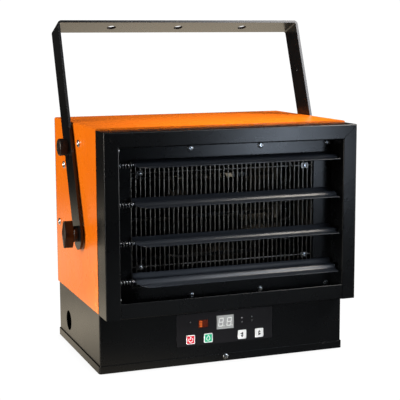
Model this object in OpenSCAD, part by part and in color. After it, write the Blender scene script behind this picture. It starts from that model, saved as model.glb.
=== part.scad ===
// Fan heater for a workshop ceiling: a folded steel housing on a control base, carried by a
// flat-bar yoke that tilts on two pivot knobs. Millimetres. +Z is up, the warm air leaves
// towards -Y, and the origin is the middle of the base's underside.

/* [Housing] */
// Width across the side panels
body_w = 356; // [348:1:390]
// Depth from the front flange to the rear panel's outer face
body_d = 222; // [214:1:250]
// Height of the housing's top above the base's underside
body_top = 323; // [319:1:345]
// Height of the control base
base_h = 80; // [76:1:84]
// Thickness of the folded sheet
sheet = 1.2; // [1:0.1:1.4]
// Outer radius of the housing's top folds
shell_fold_r = 2.4; // [2:0.1:4]
// Width of the housing's inward flanges
flange_w = 14; // [11:0.5:16]
// Diameter of the intake opening in the rear panel
intake_d = 176; // [150:2:190]

/* [Front frame] */
// Depth of the frame in front of the housing
frame_d = 36.6; // [36:0.2:44]
// Width of each stile's face
stile_w = 20; // [18:0.5:22]
// Height of each rail's face
rail_h = 20.3; // [16:0.1:22]
// Step from the housing's side to the frame
frame_step_side = 0.4; // [0:0.1:3]
// Step from the housing's top to the frame
frame_step_top = 2.5; // [1:0.1:5]
// Height of the frame's lower edge above the base's top
frame_lift = 0.4; // [0.2:0.1:1]
// Outer radius of the frame's front folds
frame_fold_r = 1.8; // [0.6:0.1:2.2]
// Hairline between the mitred faces
mitre_gap = 0.2; // [0.1:0.05:0.5]

/* [Air outlet] */
// Width of the outlet opening
outlet_w = 263.6; // [256:0.4:270]
// Height of the outlet opening
outlet_h = 168.6; // [166:0.2:172]
// Shift of the outlet towards the right stile
outlet_shift = -1.2; // [-3:0.1:3]
// Drop of the outlet's middle below the frame's middle
outlet_drop = 5.1; // [4:0.1:6]
// Depth of the wire guard's plane behind the outlet plate
guard_depth = 2.5; // [2:0.5:20]
// Diameter of the guard's wires
guard_wire_d = 1.8; // [1.4:0.1:2.4]
// Distance between guard wires
guard_pitch = 6.5; // [6:0.1:9]

/* [Louvres] */
// Distance between louvre pivots
louvre_pitch = 50.4; // [44:0.2:54]
// Reach of the louvre pivots in front of the housing
louvre_reach = 20; // [19.6:0.1:21]
// Half of a louvre's chord
louvre_half = 16.5; // [14:0.1:16.8]
// Sheet thickness of a louvre
louvre_t = 1; // [0.8:0.1:1.2]
// Half height of the rolled wave across a louvre
louvre_wave = 1.7; // [1:0.1:2]
// Diameter of the louvre pivot rods
louvre_rod_d = 4; // [3:0.1:4.2]
// Room for the spring between the left stile and the louvre
spring_room = 24; // [22:0.1:27]
// Room between the louvre and the right stile
spacer_room = 4.5; // [1:0.1:8]
// Cut-back of each louvre's left front corner
louvre_corner = 13; // [6:0.5:18]
// Mean radius of the louvre springs
spring_r = 3.5; // [3.2:0.1:4]
// Wire diameter of the louvre springs
spring_wire_d = 1; // [0.8:0.1:1]
// Open turns of a louvre spring
spring_turns = 5; // [3:1:5]

/* [Yoke] */
// Thickness of the flat bar
bar_t = 3.5; // [2.5:0.1:4]
// Width of the flat bar
bar_w = 39.4; // [30:0.2:42]
// Gap between the yoke's legs and the side panels
leg_gap = 2.6; // [2.6:0.1:4]
// Distance from the pivot to the crossbar's top
yoke_reach = 299; // [280:0.1:310]
// Outer radius of the yoke's bends
yoke_bend_r = 6; // [5:0.5:12]
// Backward lean of the yoke
yoke_lean = 20.8; // [12:0.1:32]
// Distance of the pivot behind the housing's front
pivot_back = 79; // [75:0.5:90]
// Height of the pivot above the base's underside
pivot_z = 175; // [170:0.5:184]
// Radius of the circle of tilt positions
index_r = 122; // [116:0.5:124]
// Diameter of the three ceiling holes
ceiling_hole_d = 13; // [8:0.5:14]
// Distance between the ceiling holes
ceiling_pitch = 101; // [80:1:110]
// Distance from the pivot to the legs' tie holes
tie_hole_reach = 228; // [200:1:240]
// Diameter of the legs' tie holes
tie_hole_d = 4.5; // [3:0.1:6]

/* [Knobs] */
// Length of the pivot knobs' wings, tip to tip
pivot_knob_l = 37; // [32:0.5:44]
// Width of the pivot knobs' wings in the middle
pivot_knob_w = 21; // [17:0.5:26]
// Thickness of the pivot knobs' wings
pivot_knob_t = 12; // [8:0.5:18]
// Diameter of the pivot knobs' hubs
pivot_hub_d = 22; // [18:0.5:30]
// Diameter of the pivot studs
pivot_stud_d = 8; // [6:0.5:10]
// Diameter of the lock knobs
lock_knob_d = 23.5; // [20:0.5:28]
// Thickness of the lock knobs
lock_knob_t = 13; // [10:0.5:16]
// Diameter of the tilt screws and lock studs
index_d = 6; // [5:0.1:6.4]

/* [Control base] */
// Height of the tray's upturned lip
lip_h = 10; // [9:0.5:14]
// Gap between the lip and the base's walls
lip_gap = 0.3; // [0.2:0.1:0.8]
// Width of the control overlay
overlay_w = 140; // [134:1:150]
// Height of the control overlay
overlay_h = 44; // [42:0.5:48]
// Height of the overlay's middle
overlay_z = 47.4; // [44:0.2:49]
// Thickness of the overlay
overlay_t = 1; // [0.8:0.1:1.2]
// Side of each square button
button_s = 12.6; // [10:0.2:13.4]
// Distance from the middle to the inner buttons
button_in = 24.8; // [23:0.2:26]
// Distance from the middle to the outer buttons
button_out = 50.3; // [47:0.2:53]
// Travel of each button
button_travel = 1; // [0.6:0.1:1]
// Width of the display's face
display_w = 25.2; // [22:0.2:26]
// Height of the display's face
display_h = 18.9; // [17:0.1:19.5]
// Diameter of the supply cable's knockout
knockout_d = 28.5; // [20:0.5:30]
// Distance of the knockout's middle behind the housing's front
knockout_back = 166; // [150:1:180]
// Height of the knockout's middle
knockout_z = 33.5; // [28:0.5:40]

/* [Heat and air] */
// Diameter of the fan
fan_d = 150; // [130:1:156]
// Gap from the blade tips to the shroud ring
tip_gap = 2.5; // [1:0.1:3]
// Pitch of the fan blades
blade_pitch = 30; // [20:1:35]
// Diameter of the motor
motor_d = 72; // [60:1:80]
// Length of the motor
motor_len = 50; // [40:1:54]
// Diameter of the motor's shaft
shaft_d = 6; // [5:0.1:8]
// Depth of the air duct from the outlet plate to the fan shroud
duct_len = 131; // [126:1:136]
// Diameter of the element tubes
tube_d = 8; // [7:0.1:9]
// Diameter of the element fins
fin_d = 22; // [18:0.5:24]
// Distance between element fins
fin_pitch = 4; // [3:0.25:6]
// Vertical distance between the element legs
leg_pitch = 27; // [25.5:0.1:27.5]

/* [Fasteners] */
// Diameter of the cover screws
cover_d = 4; // [3:0.1:4.5]
// Head diameter of the cover screws
cover_head_d = 8.2; // [7:0.1:8.8]
// Height of the cover screws' heads
cover_head_h = 2.2; // [1.6:0.1:2.6]
// Length of the cover screws' shanks
cover_len = 7; // [6:0.5:9]
// Diameter of the small inner screws
inner_d = 3; // [2:0.1:3.2]
// Head height of the small inner screws
inner_head_h = 1.8; // [1.2:0.1:2]
// Length of the small inner screws' shanks
inner_len = 5; // [4:0.1:5.4]
// Length of the tilt screws' shanks
tilt_len = 8; // [7:0.5:12]

/* [Hidden] */

$fn = 64;
cut = 1;                    // overshoot of every cutting shape
snug = 0.1;                 // clearance on diameter of a pin that turns in its hole
loose = 0.3;                // clearance on diameter of a screw in its hole
thread_gap = 0.05;          // clearance on diameter of a screw in its thread
rest_gap = 0.1;             // gap between faces that turn past each other

// Housing
front_y = -body_d / 2;
back_y = body_d / 2;
side_x = body_w / 2;
deck_z = base_h;
shell_z = deck_z + sheet;
shell_h = body_top - shell_z;

// Front frame
plate_y = front_y - sheet;
frame_y = front_y - frame_d;
frame_x = side_x - frame_step_side;
frame_z0 = base_h + frame_lift;
frame_z1 = body_top - frame_step_top;
frame_depth = plate_y - frame_y;
open_x = frame_x - stile_w;
open_z0 = frame_z0 + rail_h;
open_z1 = frame_z1 - rail_h;
open_mid = (open_z0 + open_z1) / 2;
mitre_slope = rail_h / stile_w;

// Outlet plate, duct and guard
outlet_x0 = outlet_shift - outlet_w / 2;
outlet_x1 = outlet_shift + outlet_w / 2;
outlet_mid = open_mid - outlet_drop;
outlet_z0 = outlet_mid - outlet_h / 2;
outlet_z1 = outlet_mid + outlet_h / 2;
plate_screw_x = open_x - cover_head_d / 2 - 2.6;    // clear of the stiles' inner walls
plate_screw_top = open_z1 - 6.5;    // just under the top rail
plate_screw_low = open_z0 - 3.9;    // behind the lower rail's face
duct_edge = 7;              // duct flange beyond its screws
duct_back = front_y + duct_len;
guard_y = front_y + guard_depth;
guard_strip = [10, 1.5];    // depth and thickness of the guard's end strips
guard_side_room = 3.4;      // outlet width left free beside the outer wires
guard_wires = 1 + floor((outlet_w - guard_side_room) / guard_pitch);
guard_first = outlet_shift - (guard_wires - 1) * guard_pitch / 2;
guard_cross_z = [outlet_z0 + 27.9, outlet_z1 - 16.6];    // cross wires and lugs
guard_cross_end = 0.5;      // overshoot of the cross wires beyond the outer wires
guard_lug = [10, 7];
guard_lug_inset = 13;
guard_front = guard_y - guard_wire_d / 2 - 0.6;     // front faces of the guard's lugs
guard_screw_len = guard_wire_d / 2 + 5;

// Louvres
louvre_y = front_y - louvre_reach;
louvre_tilts = [8, 13, 11, 21];
louvre_steps = 44;
blade_x0 = -open_x + spring_room;
blade_x1 = open_x - spacer_room;
blade_rise = (louvre_rod_d + snug) / 2 + louvre_t / 2 - louvre_wave;
valley = louvre_half * 0.43;
front_lip = 1.3;            // rise of the front edge above its valley
rod_end = 3;                // length of rod inside each stile
rod_collar_t = 1;
lug_t = 1;
lug_d = louvre_rod_d + 4.4; // diameter of the collars and end lugs

// Springs on the louvre rods
end_turn = 0.75;            // length of each closer end, in turns
end_pitch = spring_wire_d + 0.5;
spring_seat = 0.1;          // gap between the stile and the spring
curl_rings = 8;
spring_sides = 6;
spring_len = spring_room - rod_collar_t - rest_gap - 3 * spring_seat;
all_turns = spring_turns + 2 * end_turn;
open_pitch = (spring_len - spring_wire_d - 2 * end_turn * end_pitch) / spring_turns;

// Yoke and tilt positions
pivot_y = front_y + pivot_back;
leg_x = side_x + leg_gap;
tilt_stops = [2, 46, 91];
tilt_head_d = 10.4;
tilt_head_h = 2;
nut_t = 5;
stud_in = 12;               // length of the pivot stud inside the side panel
pivot_hub_t = 6.5;
pivot_tip_r = 4;            // radius of the wings' round tips
pivot_face_rim = 2.4;       // rim round the recess in a wing's face
leg_tail = 2;               // centre of the legs' round ends below the pivot

// Base
base_w = body_w - 2 * (sheet + lip_gap);
base_d = body_d - 2 * (sheet + lip_gap);
base_front = -base_d / 2;
base_fold_r = 2.2;
deck_inset = 6;
window_w = overlay_w - 14;
window_h = overlay_h - 3;
overlay_front = base_front - overlay_t;
button_z = overlay_z - 13.2;
button_proud = 0.6;
button_flange = [0.6, 1];   // width and thickness of the flange behind the overlay
display_z = overlay_z + 6.7;
display_t = 8;
display_recess = 0.6;
board_y = overlay_front + display_recess + display_t;
board_t = 1.6;
indicator_x = -32.2;
indicator_z = overlay_z + 7.2;
indicator_size = [14, 10.5];
led_d = 2;
led_spots = [[-button_out, 10.7], [25, 10.2], [25, 4.6], [39.8, 10.2], [39.8, 4.6]];
spacer_d = 5.6;
spacer_floor = 1.2;         // solid end of each spacer's bore
spacer_x = window_w / 2 + spacer_d / 2 + 0.4;
spacer_z = overlay_h / 2 - 5;
switch_s = 6;
switch_h = 4.2;
lip_screw_z = 6;

// Fan, motor and elements
ring_r = fan_d / 2 + tip_gap;
ring_depth = 30;
strap_t = 2;
strap_h = 28;
strap_half = ring_r + 22;
strap_screw_x = strap_half - 8;
motor_screw_x = motor_d * 0.3;
blade_count = 5;
blade_t = 1.6;
blade_chord = 50;
hub_d = 34;
hub_len = 20;
fan_gap = 4;                // gap between the shroud's plate and the fan's hub
fan_y = duct_back + sheet + fan_gap;
element_y = front_y + 45;   // between the guard and the motor
element_pitch = 2 * leg_pitch;
element_x0 = outlet_x0 - 14;    // the cold ends stand out of the duct
element_bend_x = outlet_x1 - 12 - leg_pitch / 2;
support_x = element_bend_x - 10;
support_t = 1.5;
fin_t = 0.6;
fin_x0 = outlet_x0 + 8;
fin_count = floor((support_x - 4 - fin_x0) / fin_pitch);

// ---------- shared shapes ----------

// Extrudes an X-Z outline towards +Y
module along_y(y_from, len) {
  translate([0, y_from + len, 0]) rotate([90, 0, 0]) linear_extrude(len) children();
}

// Extrudes a Y-Z outline towards +X
module along_x(x_from, len) {
  translate([x_from, 0, 0]) rotate([90, 0, 90]) linear_extrude(len) children();
}

module box(low, high) translate(low) cube(high - low);

module bar_x(at, d, len) translate(at) rotate([0, 90, 0]) cylinder(d = d, h = len);

module bar_y(at, d, len) translate(at) rotate([-90, 0, 0]) cylinder(d = d, h = len);

module rounded(w, h, r) {
  square([w - 2 * r, h], center = true);
  square([w, h - 2 * r], center = true);
  for (x = [-1, 1], y = [-1, 1]) translate([x * (w / 2 - r), y * (h / 2 - r)]) circle(r = r);
}

// Block standing on the X axis with round top corners
module round_top(w, h, r) {
  translate([-w / 2, 0]) square([w, h - r]);
  translate([-w / 2 + r, 0]) square([w - 2 * r, h]);
  for (x = [-1, 1]) translate([x * (w / 2 - r), h - r]) circle(r = r);
}

// Folded channel seen end on: closed face at the bottom, open at the top
module channel(w, d, r) {
  difference() {
    union() {
      translate([0, r]) square([w, d - r]);
      translate([r, 0]) square([w - 2 * r, d]);
      for (x = [r, w - r]) translate([x, r]) circle(r = r);
    }
    translate([sheet, sheet]) square([w - 2 * sheet, d]);
  }
}

// Cross-recessed pan head screw: head above the X-Y plane, shank below it
module pan_screw(d, head_d, head_h, len) {
  dome_r = head_d * 0.75;
  slot = [head_d * 0.58, head_d * 0.13, head_h];
  difference() {
    union() {
      intersection() {
        cylinder(d = head_d, h = head_h);
        translate([0, 0, head_h - dome_r]) sphere(r = dome_r);
      }
      translate([0, 0, -len]) cylinder(d = d, h = len);
    }
    for (turn = [45, 135])
      rotate([0, 0, turn]) translate([0, 0, head_h]) cube(slot, center = true);
  }
}

module hex_ring(across, bore, h) {
  difference() {
    cylinder(d = across / cos(30), h = h, $fn = 6);
    translate([0, 0, -cut]) cylinder(d = bore, h = h + 2 * cut);
  }
}

// Turns a shape that points up so that it points out of a side panel
module out_of_side(side) rotate([0, side * 90, 0]) children();

function tilt_point(angle) =
  [pivot_y + index_r * sin(angle), pivot_z + index_r * cos(angle)];

// ---------- fastener positions ----------

plate_spots = [
  for (step = [-1, -1 / 3, 1 / 3, 1], z = [plate_screw_low, plate_screw_top])
    [step * plate_screw_x, z]
];
rear_spots = concat(
  [for (x = [-1, 0, 1]) [x * (side_x - flange_w / 2), body_top - flange_w / 2]],
  [for (x = [-1, 1], z = [shell_z + flange_w, (shell_z + body_top) / 2])
    [x * (side_x - flange_w / 2), z]]
);
rear_ring_r = intake_d / 2 + 4;
rear_ear_r = rear_ring_r + 8;
rear_wire_d = 2.2;
guard_rings = floor(rear_ring_r / 10.5);
rear_ears = [for (turn = [45:90:315])
  [outlet_shift + rear_ear_r * cos(turn), outlet_mid + rear_ear_r * sin(turn)]];
guard_spots = [
  for (x = [outlet_x0 + guard_lug_inset, outlet_x1 - guard_lug_inset], z = guard_cross_z) [x, z]
];

// ---------- housing ----------

module outer_shell() {
  color("darkorange")
  difference() {
    along_y(front_y, body_d - sheet)
      translate([0, shell_z]) round_top(body_w, shell_h, shell_fold_r);
    along_y(front_y + sheet, body_d - 3 * sheet)
      translate([0, shell_z + sheet])
      round_top(body_w - 2 * sheet, shell_h - 2 * sheet, shell_fold_r - sheet);
    along_y(front_y - cut, body_d + 2 * cut)
      translate([flange_w - side_x, shell_z - cut])
      square([body_w - 2 * flange_w, shell_h - flange_w + cut]);
    for (side = [-1, 1]) {
      translate([side * side_x, pivot_y, pivot_z]) out_of_side(side)
        cylinder(d = pivot_stud_d + 2 * snug, h = 4 * sheet, center = true);
      for (angle = concat(tilt_stops, [yoke_lean]))
        translate([side * side_x, tilt_point(angle).x, tilt_point(angle).y]) out_of_side(side)
        cylinder(d = index_d + loose, h = 4 * sheet, center = true);
    }
    for (spot = rear_spots)
      bar_y([spot.x, back_y - 4 * sheet, spot.y], cover_d + loose, 4 * sheet);
  }
}

module rear_panel() {
  color("#1c1d1f")
  difference() {
    along_y(back_y - sheet, sheet)
      translate([0, shell_z]) round_top(body_w, shell_h, shell_fold_r);
    bar_y([outlet_shift, back_y - 2 * sheet, outlet_mid], intake_d, 3 * sheet);
    for (spot = concat(rear_spots, rear_ears))
      bar_y([spot.x, back_y - 2 * sheet, spot.y], cover_d + loose, 3 * sheet);
  }
}

module rear_fan_guard() {
  color("#26272a")
  translate([outlet_shift, back_y, outlet_mid])
  difference() {
    union() {
      translate([0, rear_wire_d / 2, 0]) rotate([90, 0, 0])
        for (ring = [1:guard_rings])
          rotate_extrude() translate([rear_ring_r * ring / guard_rings, 0]) circle(d = rear_wire_d);
      for (turn = [45, 135]) rotate([0, turn, 0])
        translate([-rear_ear_r, 0, -1.5]) cube([2 * rear_ear_r, rear_wire_d, 3]);
      bar_y([0, 0, 0], 26, rear_wire_d + 0.6);
      for (turn = [45:90:315]) rotate([0, turn, 0])
        bar_y([rear_ear_r, 0, 0], cover_head_d + 3, rear_wire_d);
    }
    for (turn = [45:90:315]) rotate([0, turn, 0])
      bar_y([rear_ear_r, -cut, 0], cover_d + loose, rear_wire_d + 2 * cut);
  }
}

// ---------- front frame ----------

module frame_top_rail() {
  color("#202226")
  difference() {
    translate([0, frame_y, frame_z1 - rail_h]) along_x(-frame_x, 2 * frame_x)
      mirror([1, -1]) channel(rail_h, frame_depth, frame_fold_r);
    for (side = [0, 1]) mirror([side, 0, 0]) along_y(frame_y - cut, frame_depth + 2 * cut)
      translate([-frame_x, frame_z1]) polygon([
        [-cut, cut * mitre_slope],
        [stile_w + cut, -rail_h - cut * mitre_slope],
        [-cut, -rail_h - cut * mitre_slope]
      ]);
  }
}

module stile() {
  difference() {
    translate([-frame_x, frame_y, frame_z0])
      linear_extrude(frame_z1 - frame_z0) channel(stile_w, frame_depth, frame_fold_r);
    along_y(frame_y - cut, frame_depth + 2 * cut)
      translate([-frame_x, frame_z1 - mitre_gap]) polygon([
        [-cut, cut * mitre_slope],
        [stile_w + cut, -rail_h - cut * mitre_slope],
        [stile_w + cut, rail_h],
        [-cut, rail_h]
      ]);
    for (i = [0:3])
      bar_x([-open_x - 2 * sheet, louvre_y, louvre_z(i)], louvre_rod_d + 2 * snug, 3 * sheet);
  }
}

module frame_left_stile() color("#202226") stile();

module frame_right_stile() color("#202226") mirror([1, 0, 0]) stile();

// The lower rail is an angle: a face and a floor, open above
module frame_bottom_rail() {
  color("#202226")
  difference() {
    translate([0, frame_y, frame_z0]) along_x(-open_x, 2 * open_x)
      mirror([1, -1]) channel(rail_h + 2 * sheet, frame_depth, frame_fold_r);
    box([-side_x, frame_y - cut, frame_z0 + rail_h], [side_x, front_y, frame_z0 + 2 * rail_h]);
  }
}

module outlet_plate() {
  color("#1b1c1f")
  difference() {
    box([-frame_x, plate_y, frame_z0], [frame_x, front_y, frame_z1]);
    box([outlet_x0, plate_y - cut, outlet_z0], [outlet_x1, front_y + cut, outlet_z1]);
    for (spot = plate_spots)
      bar_y([spot.x, plate_y - cut, spot.y], cover_d + loose, sheet + 2 * cut);
  }
}

module air_duct() {
  edge_x = plate_screw_x + duct_edge;
  color("silver")
  difference() {
    union() {
      box([-edge_x, front_y, plate_screw_low - duct_edge],
          [edge_x, front_y + sheet, plate_screw_top + duct_edge]);
      box([outlet_x0 - sheet, front_y, outlet_z0 - sheet],
          [outlet_x1 + sheet, duct_back, outlet_z1 + sheet]);
    }
    box([outlet_x0, front_y - cut, outlet_z0], [outlet_x1, duct_back + cut, outlet_z1]);
    for (spot = plate_spots)
      bar_y([spot.x, front_y - cut, spot.y], cover_d + loose, sheet + 2 * cut);
    for (i = [0:2], leg = [-1, 1])
      bar_x([outlet_x0 - 2 * sheet, element_y, element_z(i) + leg * leg_pitch / 2],
            tube_d + loose, 3 * sheet);
  }
}

module outlet_guard() {
  wire_len = outlet_h - guard_strip.y;
  strip_y = guard_y - guard_wire_d / 2;
  color("#8a8c8f")
  difference() {
    union() {
      for (z = [outlet_z0, outlet_z1 - guard_strip.y])
        box([outlet_x0 + 1, strip_y, z],
            [outlet_x1 - 1, strip_y + guard_strip.x, z + guard_strip.y]);
      for (i = [0:guard_wires - 1])
        translate([guard_first + i * guard_pitch, guard_y, outlet_z0 + guard_strip.y / 2])
        cylinder(d = guard_wire_d, h = wire_len);
      for (z = guard_cross_z)
        bar_x([guard_first - guard_cross_end, guard_y + guard_wire_d * 0.7, z], guard_wire_d,
              2 * (outlet_shift - guard_first + guard_cross_end));
      for (spot = guard_spots)
        box([spot.x - guard_lug.x / 2, guard_front, spot.y - guard_lug.y / 2],
            [spot.x + guard_lug.x / 2, guard_y, spot.y + guard_lug.y / 2]);
    }
    for (spot = guard_spots)
      bar_y([spot.x, guard_front - cut, spot.y], inner_d + loose,
            guard_screw_len + 2 * cut);
  }
}

// ---------- louvres ----------

function louvre_z(i) = open_mid + (1.5 - i) * louvre_pitch;

// Height of the rolled sheet's middle at a distance in front of the rod
function blade_height(f) = blade_rise + (
  abs(f) < valley ? louvre_wave * cos(180 * f / valley) :
  f < 0 ? -louvre_wave * cos(180 * (f + valley) / (louvre_half - valley)) :
  -louvre_wave + front_lip * (1 - cos(90 * (f - valley) / (louvre_half - valley)))
);

function blade_edge(half_t) = [
  for (k = [0:louvre_steps]) let (f = -louvre_half + 2 * louvre_half * k / louvre_steps)
    [-f, blade_height(f) + half_t]
];

function reversed(list) = [for (k = [len(list) - 1:-1:0]) list[k]];

module louvre_place(i) {
  translate([0, louvre_y, louvre_z(i)]) rotate([louvre_tilts[i], 0, 0]) children();
}

module louvre(i) {
  color("#2b2f35")
  louvre_place(i) difference() {
    union() {
      along_x(blade_x0, blade_x1 - blade_x0)
        polygon(concat(blade_edge(louvre_t / 2), reversed(blade_edge(-louvre_t / 2))));
      for (x = [blade_x0, blade_x1 - lug_t]) intersection() {
        bar_x([x, 0, 0], lug_d, lug_t);
        box([x - cut, -lug_d, -lug_d], [x + 2 * cut, lug_d, blade_height(0)]);
      }
    }
    bar_x([blade_x0 - cut, 0, 0], louvre_rod_d + snug, blade_x1 - blade_x0 + 2 * cut);
    translate([0, 0, -louvre_half]) linear_extrude(2 * louvre_half) polygon([
      [blade_x0 - cut, -3],
      [blade_x0, -3],
      [blade_x0 + louvre_corner, -louvre_half],
      [blade_x0 + louvre_corner, -louvre_half - cut],
      [blade_x0 - cut, -louvre_half - cut]
    ]);
  }
}

module louvre_1() louvre(0);
module louvre_2() louvre(1);
module louvre_3() louvre(2);
module louvre_4() louvre(3);

module louvre_rod(i) {
  color("silver")
  louvre_place(i) {
    bar_x([-open_x - sheet - rod_end, 0, 0], louvre_rod_d, 2 * (open_x + sheet + rod_end));
    bar_x([blade_x0 - rod_collar_t - rest_gap, 0, 0], lug_d, rod_collar_t);
    bar_x([blade_x1 + rest_gap, 0, 0], lug_d, spacer_room - 2 * rest_gap);
  }
}

module louvre_rod_1() louvre_rod(0);
module louvre_rod_2() louvre_rod(1);
module louvre_rod_3() louvre_rod(2);
module louvre_rod_4() louvre_rod(3);

// Distance along the rod after a number of turns: tight end turns, open turns between
function spring_advance(n) =
  n < end_turn ? n * end_pitch :
  n < all_turns - end_turn ? end_turn * end_pitch + (n - end_turn) * open_pitch :
  spring_len - spring_wire_d - (all_turns - n) * end_pitch;

function spring_centre(n) =
  [spring_advance(n), spring_r * cos(360 * n), spring_r * sin(360 * n)];

function spring_ring(n) = let (
  turn = 360 * n,
  rate = (spring_advance(min(n + 0.01, all_turns)) - spring_advance(max(n - 0.01, 0))) / 0.02,
  along = [rate, -2 * PI * spring_r * sin(turn), 2 * PI * spring_r * cos(turn)],
  out = [0, cos(turn), sin(turn)],
  up = cross(along, out) / norm(along)
) [
  for (k = [0:spring_sides - 1]) let (a = 360 * k / spring_sides)
    spring_centre(n) + spring_wire_d / 2 * (out * cos(a) + up * sin(a))
];

spring_rings = [for (k = [0:round(all_turns * curl_rings)]) spring_ring(k / curl_rings)];

// Least gap between one turn of the spring's wire and the next
function spring_gap() = min([
  for (a = [0:len(spring_rings) - 1], b = [a + curl_rings / 2:1:len(spring_rings) - 1])
    norm(spring_centre(a / curl_rings) - spring_centre(b / curl_rings)) - spring_wire_d
]);

module tube(rings) {
  sides = len(rings[0]);
  last = len(rings) - 1;
  polyhedron(
    points = [for (ring = rings) each ring],
    faces = concat(
      [for (r = [0:last - 1], k = [0:sides - 1]) let (n = (k + 1) % sides)
        each [[r * sides + k, (r + 1) * sides + k, r * sides + n],
              [r * sides + n, (r + 1) * sides + k, (r + 1) * sides + n]]],
      [for (k = [1:sides - 2]) [0, k, k + 1]],
      [for (k = [1:sides - 2]) [last * sides, last * sides + k + 1, last * sides + k]]
    )
  );
}

module louvre_spring(i) {
  echo(spring_gap_mm = spring_gap());
  color("gainsboro")
  translate([-open_x + spring_seat + spring_wire_d / 2, louvre_y, louvre_z(i)]) tube(spring_rings);
}

module louvre_spring_1() louvre_spring(0);
module louvre_spring_2() louvre_spring(1);
module louvre_spring_3() louvre_spring(2);
module louvre_spring_4() louvre_spring(3);

// ---------- control base ----------

module base_box() {
  color("#1d1e20")
  difference() {
    translate([0, 0, sheet]) linear_extrude(base_h - sheet) rounded(base_w, base_d, base_fold_r);
    translate([0, 0, sheet - cut]) linear_extrude(base_h - 2 * sheet + cut)
      rounded(base_w - 2 * sheet, base_d - 2 * sheet, base_fold_r - sheet);
    linear_extrude(base_h + cut) rounded(base_w - 2 * flange_w, base_d - 2 * flange_w, 1);
    along_y(base_front - cut, 3 * sheet) translate([0, overlay_z])
      square([window_w, window_h], center = true);
    bar_x([-side_x - cut, front_y + knockout_back, knockout_z], knockout_d, 4 * sheet + cut);
    for (y = [base_front, -base_front])
      bar_y([0, y - 2 * sheet, lip_screw_z], cover_d + loose, 4 * sheet);
  }
}

module base_tray() {
  color("#1d1e20")
  difference() {
    linear_extrude(lip_h) rounded(body_w, body_d, base_fold_r + sheet + lip_gap);
    translate([0, 0, sheet]) linear_extrude(lip_h)
      rounded(body_w - 2 * sheet, body_d - 2 * sheet, base_fold_r + lip_gap);
    for (y = [front_y, back_y])
      bar_y([0, y - 2 * sheet, lip_screw_z], cover_d + loose, 4 * sheet);
  }
}

module base_deck() {
  wire_slot = [44, 16];
  color("silver")
  difference() {
    translate([0, 0, deck_z]) linear_extrude(sheet)
      rounded(base_w - 2 * deck_inset, base_d - 2 * deck_inset, 2);
    translate([outlet_x0 - wire_slot.x - 4, 0, deck_z - cut])
      cube([wire_slot.x, wire_slot.y, sheet + 2 * cut]);
  }
}

button_spots = [-button_out, -button_in, button_in, button_out];

module control_overlay() {
  gap = 0.2;
  color("#2c2d31")
  difference() {
    along_y(overlay_front, overlay_t) translate([0, overlay_z])
      rounded(overlay_w, overlay_h, 1.5);
    along_y(overlay_front - cut, overlay_t + 2 * cut) {
      for (x = button_spots) translate([x, button_z])
        rounded(button_s + gap, button_s + gap, 1.3);
      translate([0, display_z]) square([display_w + gap, display_h + gap], center = true);
      translate([indicator_x, indicator_z])
        square([indicator_size.x + gap, indicator_size.y + gap], center = true);
    }
    for (spot = led_spots)
      bar_y([spot.x, overlay_front - cut, overlay_z + spot.y], led_d + gap, overlay_t + 2 * cut);
  }
}

module button(x) {
  flange_y = base_front + rest_gap;
  stem_y = board_y - switch_h - 0.2 - button_travel;
  color("gainsboro") translate([x, 0, button_z]) {
    along_y(overlay_front - button_proud, flange_y - overlay_front + button_proud)
      rounded(button_s, button_s, 1.2);
    along_y(flange_y, button_flange.y)
      rounded(button_s + 2 * button_flange.x, button_s + 2 * button_flange.x, 1.5);
    bar_y([0, flange_y, 0], 5, stem_y - flange_y);
  }
}

module button_power() button(button_spots[0]);
module button_mode() button(button_spots[1]);
module button_up() button(button_spots[2]);
module button_down() button(button_spots[3]);

module display_module() {
  rim = 1.2;
  color("lightgray")
  difference() {
    along_y(board_y - display_t, display_t) translate([0, display_z])
      square([display_w, display_h], center = true);
    along_y(board_y - display_t - cut, cut + 0.2) translate([0, display_z])
      square([display_w - 2 * rim, display_h - 2 * rim], center = true);
  }
}

module indicator_window() {
  color("#6b2a1c")
  along_y(overlay_front + 0.1, board_y - overlay_front - 0.1) translate([indicator_x, indicator_z])
    square(indicator_size, center = true);
}

module status_leds() {
  color("ghostwhite")
  for (spot = led_spots) translate([spot.x, 0, overlay_z + spot.y]) {
    bar_y([0, overlay_front, 0], led_d, board_y - overlay_front);
    bar_y([0, base_front + 1, 0], led_d + 1, board_y - base_front - 1);
    translate([0, overlay_front, 0]) sphere(d = led_d);
  }
}

module control_board() {
  color("darkgreen")
  difference() {
    along_y(board_y, board_t) translate([0, overlay_z])
      square([overlay_w, overlay_h], center = true);
    for (x = [-1, 1], z = [-1, 1])
      bar_y([x * spacer_x, board_y - cut, overlay_z + z * spacer_z], inner_d + loose,
            board_t + 2 * cut);
  }
}

module key_switches() {
  color("dimgray")
  for (x = button_spots) {
    along_y(board_y - switch_h + 0.7, switch_h - 0.7) translate([x, button_z])
      square(switch_s, center = true);
    bar_y([x, board_y - switch_h, button_z], 3.5, 0.7);
  }
}

module board_spacers() {
  inner_front = base_front + sheet;
  color("goldenrod")
  for (x = [-1, 1], z = [-1, 1]) difference() {
    bar_y([x * spacer_x, inner_front, overlay_z + z * spacer_z], spacer_d, board_y - inner_front);
    bar_y([x * spacer_x, inner_front + spacer_floor, overlay_z + z * spacer_z],
          inner_d + thread_gap, board_y - inner_front);
  }
}

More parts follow.
